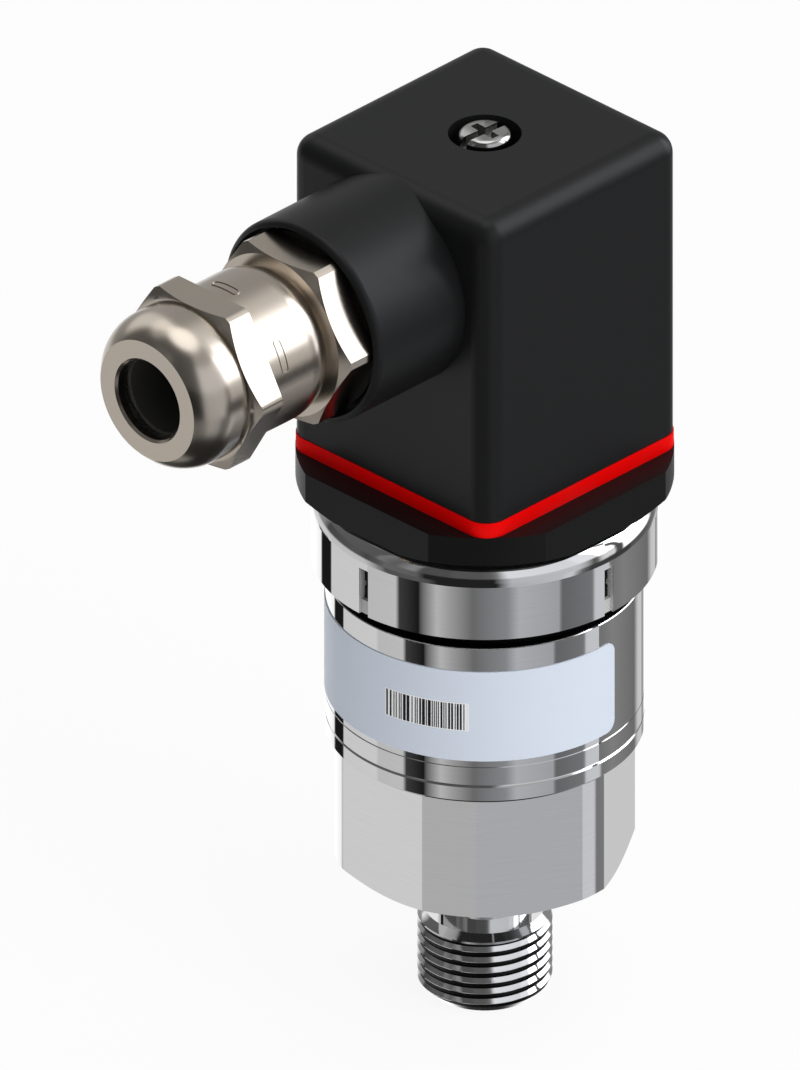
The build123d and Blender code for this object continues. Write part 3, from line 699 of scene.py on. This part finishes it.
class Workbench:
    """Modelling steps that the pieces share, each done with Blender's own operators."""

    # How close corner points are merged, in metres: on new meshes, and on copies of CAD nodes.
    MERGE = 1e-7
    NODE_MERGE = 1e-6

    @staticmethod
    def clear_selection() -> None:
        """Leave nothing selected, in object mode."""
        if bpy.context.object and bpy.context.object.mode != "OBJECT":
            bpy.ops.object.mode_set(mode="OBJECT")
        bpy.ops.object.select_all(action="DESELECT")

    @classmethod
    def take(cls, piece: Piece) -> None:
        """Select one piece alone and make it the active one.

        Args:
            piece: The piece.
        """
        cls.clear_selection()
        piece.select_set(True)
        bpy.context.view_layer.objects.active = piece

    @classmethod
    def draw(cls, name: str, points: list[Point]) -> Piece:
        """Open a new mesh with an outline extruded from point to point.

        Args:
            name: The piece's name.
            points: The outline's corners in order, in metres.

        Returns:
            The piece, in edit mode, with its last point selected.
        """
        cls.clear_selection()
        bpy.ops.mesh.primitive_plane_add(size=MM, location=ORIGIN)
        piece = bpy.context.object
        piece.name = name
        bpy.ops.object.mode_set(mode="EDIT")
        bpy.ops.mesh.select_mode(type="VERT")
        bpy.ops.mesh.select_all(action="SELECT")
        bpy.ops.mesh.merge(type="CENTER")
        bpy.ops.transform.translate(value=points[0])
        for here, there in zip(points, points[1:]):
            step = tuple(b - a for a, b in zip(here, there))
            bpy.ops.mesh.extrude_region_move(TRANSFORM_OT_translate={"value": step})
        return piece

    @classmethod
    def join_ends(cls) -> None:
        """Close the outline of the mesh in edit mode with one more edge."""
        piece = bpy.context.object
        bpy.ops.object.mode_set(mode="OBJECT")
        used = Counter(corner for edge in piece.data.edges for corner in edge.vertices)
        cls.pick_points(piece, lambda vertex: used[vertex.index] == 1)
        bpy.ops.mesh.edge_face_add()

    @classmethod
    def pick_points(cls, piece: Piece, wanted: Callable[[bpy.types.MeshVertex], bool]) -> None:
        """Select the corner points that a test accepts, and go to edit mode.

        Args:
            piece: The piece.
            wanted: The test.
        """
        cls.take(piece)
        for part in (*piece.data.edges, *piece.data.polygons):
            part.select = False
        for vertex in piece.data.vertices:
            vertex.select = wanted(vertex)
        bpy.ops.object.mode_set(mode="EDIT")
        bpy.ops.mesh.select_mode(type="VERT")

    @classmethod
    def pick_all(cls, piece: Piece) -> None:
        """Go to edit mode with all of a piece's mesh selected.

        Args:
            piece: The piece.
        """
        cls.take(piece)
        bpy.ops.object.mode_set(mode="EDIT")
        bpy.ops.mesh.select_mode(type="FACE")
        bpy.ops.mesh.select_all(action="SELECT")

    @classmethod
    def copy_of(cls, node: Piece, name: str) -> Piece:
        """A merged copy of a CAD node, with its mesh its own.

        Args:
            node: The CAD node.
            name: The copy's name.

        Returns:
            The copy, in object mode.
        """
        piece = node.copy()
        piece.data = node.data.copy()
        piece.name = name
        piece.parent = None
        for key in [key for key in piece.keys() if key.startswith("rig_")]:
            del piece[key]
        bpy.context.scene.collection.objects.link(piece)
        cls.pick_all(piece)
        bpy.ops.mesh.customdata_custom_splitnormals_clear()
        bpy.ops.mesh.remove_doubles(threshold=cls.NODE_MERGE)
        bpy.ops.object.mode_set(mode="OBJECT")
        return piece

    @classmethod
    def apply(cls, piece: Piece, kind: str, **settings: object) -> None:
        """Add a modifier and apply it.

        Args:
            piece: The piece.
            kind: The modifier's type.
            settings: Its settings by name.
        """
        cls.take(piece)
        modifier = piece.modifiers.new(kind.title(), kind)
        for name, value in settings.items():
            setattr(modifier, name, value)
        bpy.ops.object.modifier_apply(modifier=modifier.name)

    @classmethod
    def turn_out(cls, piece: Piece, fill: bool = False) -> None:
        """Merge a mesh's doubles and make its faces point outwards.

        Args:
            piece: The piece.
            fill: Whether open ends are closed as well.
        """
        cls.pick_all(piece)
        bpy.ops.mesh.remove_doubles(threshold=cls.MERGE)
        if fill:
            bpy.ops.mesh.fill_holes(sides=0)
            bpy.ops.mesh.select_all(action="SELECT")
        bpy.ops.mesh.normals_make_consistent(inside=False)
        bpy.ops.object.mode_set(mode="OBJECT")

    @classmethod
    def smooth(cls, piece: Piece, degrees: float = 30.0) -> None:
        """Shade a piece smooth, but for its edges sharper than an angle."""
        cls.take(piece)
        bpy.ops.object.shade_smooth_by_angle(angle=math.radians(degrees))


@dataclass
class Assembly:
    """A sub-assembly: the CAD nodes that it dresses, and the finer pieces that it adds.

    Its finishes give a finish's name for each of its CAD nodes.
    """

    nodes: dict[str, Piece]
    palette: Palette
    finishes = {}

    def build(self) -> list[Piece]:
        """Dress the CAD nodes, then make the new pieces.

        Returns:
            The new pieces.
        """
        for name, finish in self.finishes.items():
            self.palette.dress(self.nodes[name], finish)
        return self.add_pieces()

    def add_pieces(self) -> list[Piece]:
        """The new pieces: none, unless a sub-assembly has some of its own."""
        return []


@dataclass
class Port(Assembly):
    """The pressure port: a copy of the turned CAD solid with its thread cut in."""

    pitch_mm: float = THREAD_PITCH_MM
    major_r_mm: float = 6.5785
    depth_mm: float = 0.29
    root_half_mm: float = 0.03
    flank_degrees: float = 60.0
    clear_mm: float = 0.02
    start_z_mm: float = THREAD_START_MM
    end_z_mm: float = 5.4
    steps: int = 72
    smooth_degrees: float = 20.0

    def groove(self) -> Piece:
        """The helical cutter: one groove section screwed up past both ends of the thread.

        Returns:
            The cutter, a closed solid.
        """
        root = self.major_r_mm - self.depth_mm
        rim = self.major_r_mm + self.clear_mm
        rim_half = self.root_half_mm + (rim - root) * math.tan(math.radians(self.flank_degrees))
        section = (
            (root, -self.root_half_mm), (rim, -rim_half),
            (rim, rim_half), (root, self.root_half_mm),
        )
        corners = [(radius * MM, 0.0, (self.start_z_mm + up) * MM) for radius, up in section]
        cutter = Workbench.draw("thread_groove", corners)
        Workbench.join_ends()
        bpy.ops.object.mode_set(mode="OBJECT")
        turns = math.ceil((self.end_z_mm - self.start_z_mm) / self.pitch_mm)
        Workbench.apply(
            cutter, "SCREW", angle=math.tau, screw_offset=self.pitch_mm * MM, iterations=turns,
            steps=self.steps, render_steps=self.steps, use_merge_vertices=False,
        )
        Workbench.turn_out(cutter, fill=True)
        return cutter

    def add_pieces(self) -> list[Piece]:
        """Cut the thread into a copy of the port and stand it in the CAD node's place.

        Returns:
            The new pieces.
        """
        port = Workbench.copy_of(self.nodes["port_body"], "port_with_thread")
        cutter = self.groove()
        Workbench.apply(port, "BOOLEAN", operation="DIFFERENCE", object=cutter, solver="EXACT")
        bpy.data.objects.remove(cutter)
        Workbench.smooth(port, self.smooth_degrees)
        self.palette.dress(port, "port_steel")
        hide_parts("port_body")
        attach(port, Body.HOUSING.value)
        return [port]


class Can(Assembly):
    """The thin can, its collar and what they hold inside."""

    finishes = {
        "housing_can": "can_steel",
        "collar_ring": "collar_steel",
        "label": "label_film",
        "base_seal": "black_rubber",
        "pressure_cell": "turned_steel",
        "strain_chip": "chip_black",
        "board_support": "black_plastic",
        "cell_board": "circuit_board",
        "signal_board": "circuit_board",
        "amplifier_chip": "chip_black",
        "capacitors": "capacitor_tan",
        "lead_wires": "wire_red",
    }


@dataclass
class LabelPrint(Assembly):
    """Generic print on the label: a pale field of plain bars, and no words.

    Each layer of ink lies one ink_mm further out, and reaches as far to both sides.
    """

    radius_mm: float = 15.6
    ink_mm: float = 0.012
    bars_from_degrees: float = -83.4
    bars_to_degrees: float = -52.0
    bars_foot_mm: float = 32.55
    bars_height_mm: float = 2.9
    bar_widths: tuple[float, ...] = (0.38, 0.38, 0.7, 1.1)
    bar_gaps: tuple[float, ...] = (0.38, 0.6, 0.9)
    field_side_degrees: float = 0.6
    field_edge_mm: float = 0.1
    facet_degrees: float = 2.0
    seed: int = 5

    def strip(
        self, name: str, start: float, end: float, foot_mm: float, height_mm: float, layer: int
    ) -> Piece:
        """One printed patch that follows the label's curve.

        Args:
            name: The piece's name.
            start: Where it starts round the can, in degrees from +X.
            end: Where it ends.
            foot_mm: The height of its lower edge.
            height_mm: How tall it is.
            layer: How many layers of ink are below it.

        Returns:
            The patch, a thin closed shell.
        """
        radius = (self.radius_mm + self.ink_mm * (layer + 1)) * MM
        angle = math.radians(start)
        foot = (radius * math.cos(angle), radius * math.sin(angle), foot_mm * MM)
        head = (foot[0], foot[1], (foot_mm + height_mm) * MM)
        patch = Workbench.draw(name, [foot, head])
        bpy.ops.mesh.select_all(action="SELECT")
        bpy.ops.mesh.spin(
            steps=max(1, round((end - start) / self.facet_degrees)),
            angle=math.radians(end - start), center=ORIGIN, axis=(0.0, 0.0, -1.0),
        )
        bpy.ops.object.mode_set(mode="OBJECT")
        Workbench.turn_out(patch)
        Workbench.apply(patch, "SOLIDIFY", thickness=self.ink_mm * 2 * MM, offset=0.0)
        return patch

    def bars(self) -> list[tuple[float, float]]:
        """Bars of seeded widths that stand for a printed code and hold none.

        Returns:
            Where each bar starts and ends, in degrees.
        """
        source = random.Random(self.seed)
        spans = []
        place = self.bars_from_degrees
        while place < self.bars_to_degrees:
            width = source.choice(self.bar_widths)
            spans.append((place, min(place + width, self.bars_to_degrees)))
            place += width + source.choice(self.bar_gaps)
        return spans

    def add_pieces(self) -> list[Piece]:
        """Print the label.

        Returns:
            The new pieces, one for each ink.
        """
        pale_field = self.strip(
            "label_bar_field",
            self.bars_from_degrees - self.field_side_degrees,
            self.bars_to_degrees + self.field_side_degrees,
            self.bars_foot_mm - self.field_edge_mm,
            self.bars_height_mm + 2 * self.field_edge_mm,
            layer=0,
        )
        self.palette.dress(pale_field, "print_white")
        strips = [
            self.strip("label_bar", start, end, self.bars_foot_mm, self.bars_height_mm, layer=1)
            for start, end in self.bars()
        ]
        Workbench.take(strips[0])
        for strip in strips:
            strip.select_set(True)
        bpy.ops.object.join()
        bars = bpy.context.object
        bars.name = "label_bars"
        self.palette.dress(bars, "print_black")
        pieces = [pale_field, bars]
        for piece in pieces:
            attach(piece, Body.HOUSING.value)
        return pieces


class ConnectorBase(Assembly):
    """The black base with its contacts, its insert and the red gasket on top."""

    finishes = {
        "connector_base": "black_plastic",
        "nut_insert": "brass",
        "profile_gasket": "red_rubber",
        **dict.fromkeys(("tab_1", "tab_2", "tab_3", "tab_earth"), "contact_metal"),
    }


@dataclass
class Plug(Assembly):
    """The square plug with its screw, seal, contact carrier and clamps."""

    head_bottom_mm: float = 88.05
    head_rise_mm: float = 0.45
    seat_margin_mm: float = 0.1
    finishes = {
        "hood": "hood_plastic",
        "screw_seal": "black_rubber",
        "contact_block": "black_plastic",
        "terminal_screws": "screw_steel",
        **dict.fromkeys(("terminal_1", "terminal_2", "terminal_3", "terminal_earth"), "contact_metal"),
    }

    def add_pieces(self) -> list[Piece]:
        """Copy the central screw and draw its head up a little, as the photograph has it.

        Returns:
            The new pieces.
        """
        screw = Workbench.copy_of(self.nodes["hood_screw"], "hood_screw_tall_head")
        above = (self.head_bottom_mm + self.seat_margin_mm) * MM
        Workbench.pick_points(screw, lambda vertex: vertex.co.z > above)
        bpy.ops.transform.translate(value=(0.0, 0.0, self.head_rise_mm * MM))
        bpy.ops.object.mode_set(mode="OBJECT")
        Workbench.smooth(screw)
        self.palette.dress(screw, "head_steel")
        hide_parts("hood_screw")
        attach(screw, Body.HOOD_SCREW.value)
        return [screw]


@dataclass
class Gland(Assembly):
    """The cable gland: satin nickel outside, rubber inside, two cast marks on its barrel."""

    axis_z_mm: float = 79.9
    nut_back_mm: float = 37.9
    nut_bevel_mm: float = 0.66
    nut_flats_mm: float = 17.0
    rim_margin_mm: float = 0.05
    barrel_r_mm: float = 8.0
    mark_y_mm: float = -35.6
    mark_length_mm: float = 3.6
    mark_width_mm: float = 1.0
    mark_line_mm: float = 0.14
    mark_proud_mm: float = 0.08
    mark_centre_mm: float = 0.01
    mark_corners: int = 24
    mark_cuts: int = 5
    mark_angles: tuple[float, ...] = (-3.0, 65.5)
    finishes = {
        "gland_body": "nickel_brass",
        "gland_washer": "contact_metal",
        "gland_seal": "black_rubber",
        "gland_insert": "insert_rubber",
    }

    def square_nut(self) -> Piece:
        """Copy the nut and cut its hexagon square at the back, where the CAD has a bevel.

        Returns:
            The copy.
        """
        piece = Workbench.copy_of(self.nodes["gland_nut"], "gland_nut_square_back")
        back = -self.nut_back_mm * MM
        rim = (self.nut_flats_mm / 2 - self.rim_margin_mm) * MM

        def on_bevel(vertex: bpy.types.MeshVertex) -> bool:
            """Whether a corner point belongs to the rear bevel."""
            from_axis = math.hypot(vertex.co.x, vertex.co.z - self.axis_z_mm * MM)
            return from_axis > rim and vertex.co.y > back - self.nut_bevel_mm * MM

        Workbench.pick_points(piece, on_bevel)
        bpy.ops.transform.resize(value=(1.0, 0.0, 1.0), center_override=(0.0, back, 0.0))
        bpy.ops.object.mode_set(mode="OBJECT")
        Workbench.smooth(piece)
        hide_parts("gland_nut")
        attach(piece, Body.GLAND_NUT.value)
        return piece

    def mark(self, index: int, angle: float) -> Piece:
        """A raised stadium outline that lies round the barrel.

        Args:
            index: Its number, for its name.
            angle: How far it is turned from the top of the barrel towards +X, in degrees.

        Returns:
            The mark, a closed ring that stands a little proud.
        """
        Workbench.clear_selection()
        bpy.ops.mesh.primitive_circle_add(
            vertices=self.mark_corners, radius=self.mark_width_mm / 2 * MM, fill_type="NGON",
            location=ORIGIN,
        )
        ring = bpy.context.object
        ring.name = f"gland_mark_{index}"
        centre = self.mark_centre_mm * MM
        stretch = (self.mark_length_mm - self.mark_width_mm) / 2 * MM
        for side in (-1, 1):
            Workbench.pick_points(ring, lambda vertex: vertex.co.x * side > centre)
            bpy.ops.transform.translate(value=(stretch * side, 0.0, 0.0))
        Workbench.pick_all(ring)
        bpy.ops.mesh.inset(thickness=self.mark_line_mm * MM)
        bpy.ops.mesh.delete(type="FACE")
        bpy.ops.mesh.select_all(action="SELECT")
        bpy.ops.mesh.subdivide(number_cuts=self.mark_cuts)
        bpy.ops.object.mode_set(mode="OBJECT")
        place = (
            Matrix.Translation((0.0, self.mark_y_mm * MM, self.axis_z_mm * MM))
            @ Matrix.Rotation(math.radians(angle), 4, "Y")
            @ Matrix.Translation((0.0, 0.0, self.barrel_r_mm * MM))
        )
        ring.data.transform(place)
        Workbench.apply(
            ring, "SHRINKWRAP", target=self.nodes["gland_body"], offset=0.0,
            wrap_method="NEAREST_SURFACEPOINT", wrap_mode="ABOVE_SURFACE",
        )
        Workbench.apply(ring, "SOLIDIFY", thickness=self.mark_proud_mm * 2 * MM, offset=0.0)
        Workbench.smooth(ring)
        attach(ring, Body.PLUG.value)
        return ring

    def add_pieces(self) -> list[Piece]:
        """Add the marks and the nut with its square back.

        Returns:
            The new pieces.
        """
        pieces = [self.mark(index, angle) for index, angle in enumerate(self.mark_angles, 1)]
        pieces.append(self.square_nut())
        for piece in pieces:
            self.palette.dress(piece, "nickel_brass")
        return pieces


@dataclass(frozen=True)
class Panel:
    """A lit board or a dark flag that stands somewhere round the object in the studio.

    Its place is a span of degrees round the object, counted from the camera's side. Its level
    runs from first to last across that span, or is first all over.
    """

    start: float
    end: float
    first: float
    last: float | None = None
    tint: Colour = WHITE

    def stops(self) -> list[tuple[float, Colour]]:
        """Its two ends on the ramp that runs once round the object."""
        last = self.first if self.last is None else self.last
        return [
            ((degrees + 180) / 360, tuple(level * part for part in self.tint))
            for degrees, level in ((self.start, self.first), (self.end, last))
        ]


@dataclass(frozen=True)
class Tier:
    """One height of the studio: it takes over from the tier below between two slopes.

    A slope is the upward part of a direction: minus one straight down, one straight up.
    """

    fades_in: float
    full_from: float
    panels: tuple[Panel, ...]


# The tint of the boards at the camera's right hand.
BLUE = (0.97, 0.985, 1.03)

# What the grooves of the thread see, almost straight down.
DEEP_TIER = Tier(-1.0, -1.0, (
    Panel(-180, -134, 0.03, 0.08),
    Panel(-124, -68, 0.42),
    Panel(-56, 180, 0.03),
))
# What upright steel walls mirror to the camera: most of the can and the hexagon.
FLOOR_TIER = Tier(-0.84, -0.68, (
    Panel(-180, -141, 1.5, 1.15),
    Panel(-140, -125, 0.012),
    Panel(-124, -85, 0.78, 0.82),
    Panel(-84, -61, 0.67, 0.70),
    Panel(-60, -45, 0.06, 0.012),
    Panel(-43, -32, 0.15, 0.63),
    Panel(-24, -8, 0.46, 0.19),
    Panel(4, 15, 0.27, 0.33, BLUE),
    Panel(23, 51, 0.58, 0.48, BLUE),
    Panel(52.5, 77, 0.18, 0.24, BLUE),
    Panel(79, 92, 0.76, 0.78, BLUE),
    Panel(94, 106, 0.23, 0.29),
    Panel(139, 141, 0.19, 0.35),
    Panel(147, 157, 0.70),
    Panel(160, 168, 0.2, 0.74),
    Panel(177, 180, 1.45, 1.5),
))
# Seen in walls that lean back by a few degrees.
SKIRTING_TIER = Tier(-0.46, -0.40, (
    Panel(-180, -122, 1.0, 0.8),
    Panel(-118, -84, 0.72, 0.70),
    Panel(-76, -72, 0.45, 0.30),
    Panel(-66, -50, 0.11, 0.12),
    Panel(-44, -36, 0.12, 0.09),
    Panel(-31, 8, 0.02),
    Panel(17, 50, 0.60, 0.70, BLUE),
    Panel(54, 58, 0.80, tint=BLUE),
    Panel(64, 68, 0.25, 0.15),
    Panel(73, 106, 0.06),
    Panel(110, 125, 0.12),
    Panel(140, 180, 0.20, 0.80),
))
# Seen in rounded edges, and in the sides of the gland.
HORIZON_TIER = Tier(-0.26, -0.12, (
    Panel(-180, -124, 0.50, 0.30),
    Panel(-118, -88, 0.08, 0.12),
    Panel(-80, -70, 0.08, 0.12),
    Panel(-66, -44, 0.17, 0.15),
    Panel(-38, 6, 0.02),
    Panel(17, 60, 0.65, 0.72, BLUE),
    Panel(64, 68, 0.65, 0.50, BLUE),
    Panel(73, 76, 0.12, 0.20),
    Panel(80, 90, 0.90),
    Panel(92, 97, 0.10),
    Panel(100, 126, 2.50, tint=BLUE),
    Panel(135, 180, 0.30),
))
# What level tops mirror to the camera: soft boxes at its own height.
BOX_TIER = Tier(0.11, 0.24, (
    Panel(-180, -168, 0.46, 0.50),
    Panel(-158, -134, 1.00, 1.10),
    Panel(-120, -76, 0.14, 0.12),
    Panel(-72, -60, 0.24, 0.14),
    Panel(-50, -46, 0.30),
    Panel(-42, -24, 0.10),
    Panel(-20, -2, 0.12),
    Panel(4, 8, 0.15, 0.25),
    Panel(15, 60, 1.00, 0.95, BLUE),
    Panel(64, 76, 1.10, tint=BLUE),
    Panel(79, 90, 4.50, tint=BLUE),
    Panel(92, 96, 0.13),
    Panel(98, 124, 5.00, tint=BLUE),
    Panel(130, 146, 0.30),
    Panel(152, 180, 0.46),
))
# Seen in the upper side of the gland.
CROWN_TIER = Tier(0.64, 0.76, (
    Panel(-180, -165, 0.40, 0.60),
    Panel(-156, -128, 1.40),
    Panel(-112, -98, 0.70, 0.50),
    Panel(-84, 6, 0.12, 0.10),
    Panel(16, 75, 0.50),
    Panel(95, 140, 1.00),
    Panel(165, 180, 0.50, 0.40),
))
# Straight overhead.
ZENITH_TIER = Tier(0.90, 0.96, (
    Panel(-180, 180, 2.00),
))


@dataclass
class Studio:
    """The white room: boards and flags round the object, a soft lamp, and a pale floor."""

    camera_azimuth: float = CAMERA_AZIMUTH
    floor_z_mm: float = -4.75
    floor_size: float = 1.2
    floor_colour: Colour = (0.9, 0.9, 0.9)
    floor_glow: float = 0.9
    room_level: float = 0.66
    right_of_room: float = 0.50
    top_of_room: float = 0.22
    lamp_watts: float = 0.9
    lamp_size: float = 0.30
    lamp_place: Point = (0.42, -0.02, 0.42)
    lamp_aim: Point = (0.0, 0.0, 0.05)
    tiers: tuple[Tier, ...] = (
        DEEP_TIER, FLOOR_TIER, SKIRTING_TIER, HORIZON_TIER, BOX_TIER, CROWN_TIER, ZENITH_TIER,
    )

    @staticmethod
    def ring(graph: Graph, around: Value, tier: Tier) -> Socket:
        """The colour of a tier at a place round the object."""
        stops = [stop for panel in tier.panels for stop in panel.stops()]
        return graph.add("ShaderNodeValToRGB", {"stops": stops}, {0: around}).outputs[0]

    def world(self) -> None:
        """Light: tiers of panels for what shines, an even room for the rest, white behind."""
        world = bpy.data.worlds.new("studio")
        world.use_nodes = True
        bpy.context.scene.world = world
        graph = Graph(world.node_tree)
        direction = graph.add("ShaderNodeTexCoord").outputs["Generated"]
        x, y, slope = graph.axes(direction)
        # Half a turn is added, so that the camera's side lies in the middle of the ramps.
        around = (y.angle_from(x) / math.tau + (90 - self.camera_azimuth) / 360 + 0.5).wrapped()
        shine = self.ring(graph, around, self.tiers[0])
        for tier in self.tiers[1:]:
            upper = self.ring(graph, around, tier)
            shine = graph.blend(slope.between(tier.fades_in, tier.full_from), shine, upper)
        turn = math.radians(self.camera_azimuth)
        rightward = x * math.cos(turn) + y * math.sin(turn)
        room = self.room_level + rightward * self.right_of_room + slope * self.top_of_room
        path = graph.add("ShaderNodeLightPath")
        glossy = Value(graph, path.outputs["Is Glossy Ray"])
        camera = Value(graph, path.outputs["Is Camera Ray"])
        clear = Value(graph, path.outputs["Is Transmission Ray"])
        colour = graph.blend(glossy, graph.blend(room, BLACK, WHITE), shine)
        colour = graph.blend(camera + clear, colour, WHITE)
        background = graph.add("ShaderNodeBackground", inputs={"Color": colour, "Strength": 1.0})
        graph.add("ShaderNodeOutputWorld", inputs={"Surface": background.outputs[0]})

    def floor(self) -> None:
        """The pale floor, which takes the object's shadow and is white to the camera."""
        Workbench.clear_selection()
        bpy.ops.mesh.primitive_plane_add(
            size=self.floor_size, location=(0.0, 0.0, self.floor_z_mm * MM)
        )
        floor = bpy.context.object
        floor.name = "studio_floor"
        bpy.ops.object.transform_apply(location=True, rotation=True, scale=True)
        material = bpy.data.materials.new("studio_floor")
        material.use_nodes = True
        graph = Graph(material.node_tree)
        card = graph.add("ShaderNodeBsdfDiffuse", inputs={"Color": (*self.floor_colour, 1.0)})
        glow = graph.add("ShaderNodeEmission", inputs={"Color": (*WHITE, 1.0), "Strength": 1.0})
        seen = Value(graph, graph.add("ShaderNodeLightPath").outputs["Is Camera Ray"])
        both = graph.add("ShaderNodeMixShader", inputs={
            0: seen * self.floor_glow,
            1: card.outputs[0],
            2: glow.outputs[0],
        })
        graph.add("ShaderNodeOutputMaterial", inputs={"Surface": both.outputs[0]})
        floor.data.materials.append(material)
        floor.visible_glossy = False

    def lamp(self) -> None:
        """A large soft lamp above and to the right of the camera."""
        light = bpy.data.lights.new("soft_lamp", "AREA")
        light.shape = "RECTANGLE"
        light.size = self.lamp_size
        light.size_y = self.lamp_size
        light.energy = self.lamp_watts
        lamp = bpy.data.objects.new("soft_lamp", light)
        lamp.location = self.lamp_place
        lamp.rotation_mode = "QUATERNION"
        towards = Vector(self.lamp_aim) - Vector(self.lamp_place)
        lamp.rotation_quaternion = towards.to_track_quat("-Z", "Y")
        lamp.visible_glossy = False
        bpy.context.scene.collection.objects.link(lamp)

    def build(self) -> None:
        """Set the room up."""
        self.world()
        self.floor()
        self.lamp()
        bpy.context.scene.view_settings.view_transform = "Standard"


@dataclass
class Viewpoint:
    """The photograph's parallel view. Lengths are in metres but for the target."""

    azimuth: float = CAMERA_AZIMUTH
    elevation: float = 30.0
    height: float = 0.10388
    target_mm: Point = (-5.89, -5.75, 45.49)
    distance: float = 0.6
    clip_start: float = 0.01
    clip_end: float = 5.0

    def build(self) -> None:
        """Put the camera in its place and make it the scene's."""
        turn = math.radians(self.azimuth)
        rise = math.radians(self.elevation)
        back = Vector((
            math.sin(turn) * math.cos(rise), -math.cos(turn) * math.cos(rise), math.sin(rise)
        ))
        lens = bpy.data.cameras.new("photo_view")
        lens.type = "ORTHO"
        lens.ortho_scale = self.height
        lens.clip_start = self.clip_start
        lens.clip_end = self.clip_end
        camera = bpy.data.objects.new("photo_view", lens)
        camera.location = Vector(self.target_mm) * MM + back * self.distance
        camera.rotation_mode = "QUATERNION"
        camera.rotation_quaternion = (-back).to_track_quat("-Z", "Y")
        bpy.context.scene.collection.objects.link(camera)
        bpy.context.scene.camera = camera


def corners(box: tuple[Vector, Vector]) -> list[list[float]]:
    """A box's two corners as plain lists."""
    return [list(corner) for corner in box]


def main() -> None:
    """Build the studio, dress the CAD model and add the finer pieces."""
    logging.basicConfig(level=logging.INFO, format="%(name)s: %(message)s")
    for leftover in list(bpy.data.objects):
        bpy.data.objects.remove(leftover)
    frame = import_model()
    palette = Palette()
    Studio().build()
    Viewpoint().build()
    for assembly in (Port, Can, LabelPrint, ConnectorBase, Plug, Gland):
        pieces = assembly(frame["nodes"], palette).build()
        names = ", ".join(piece.name for piece in pieces) or "CAD solids dressed"
        LOG.info("%s: %s", assembly.__name__, names)


if __name__ == "__main__":
    main()
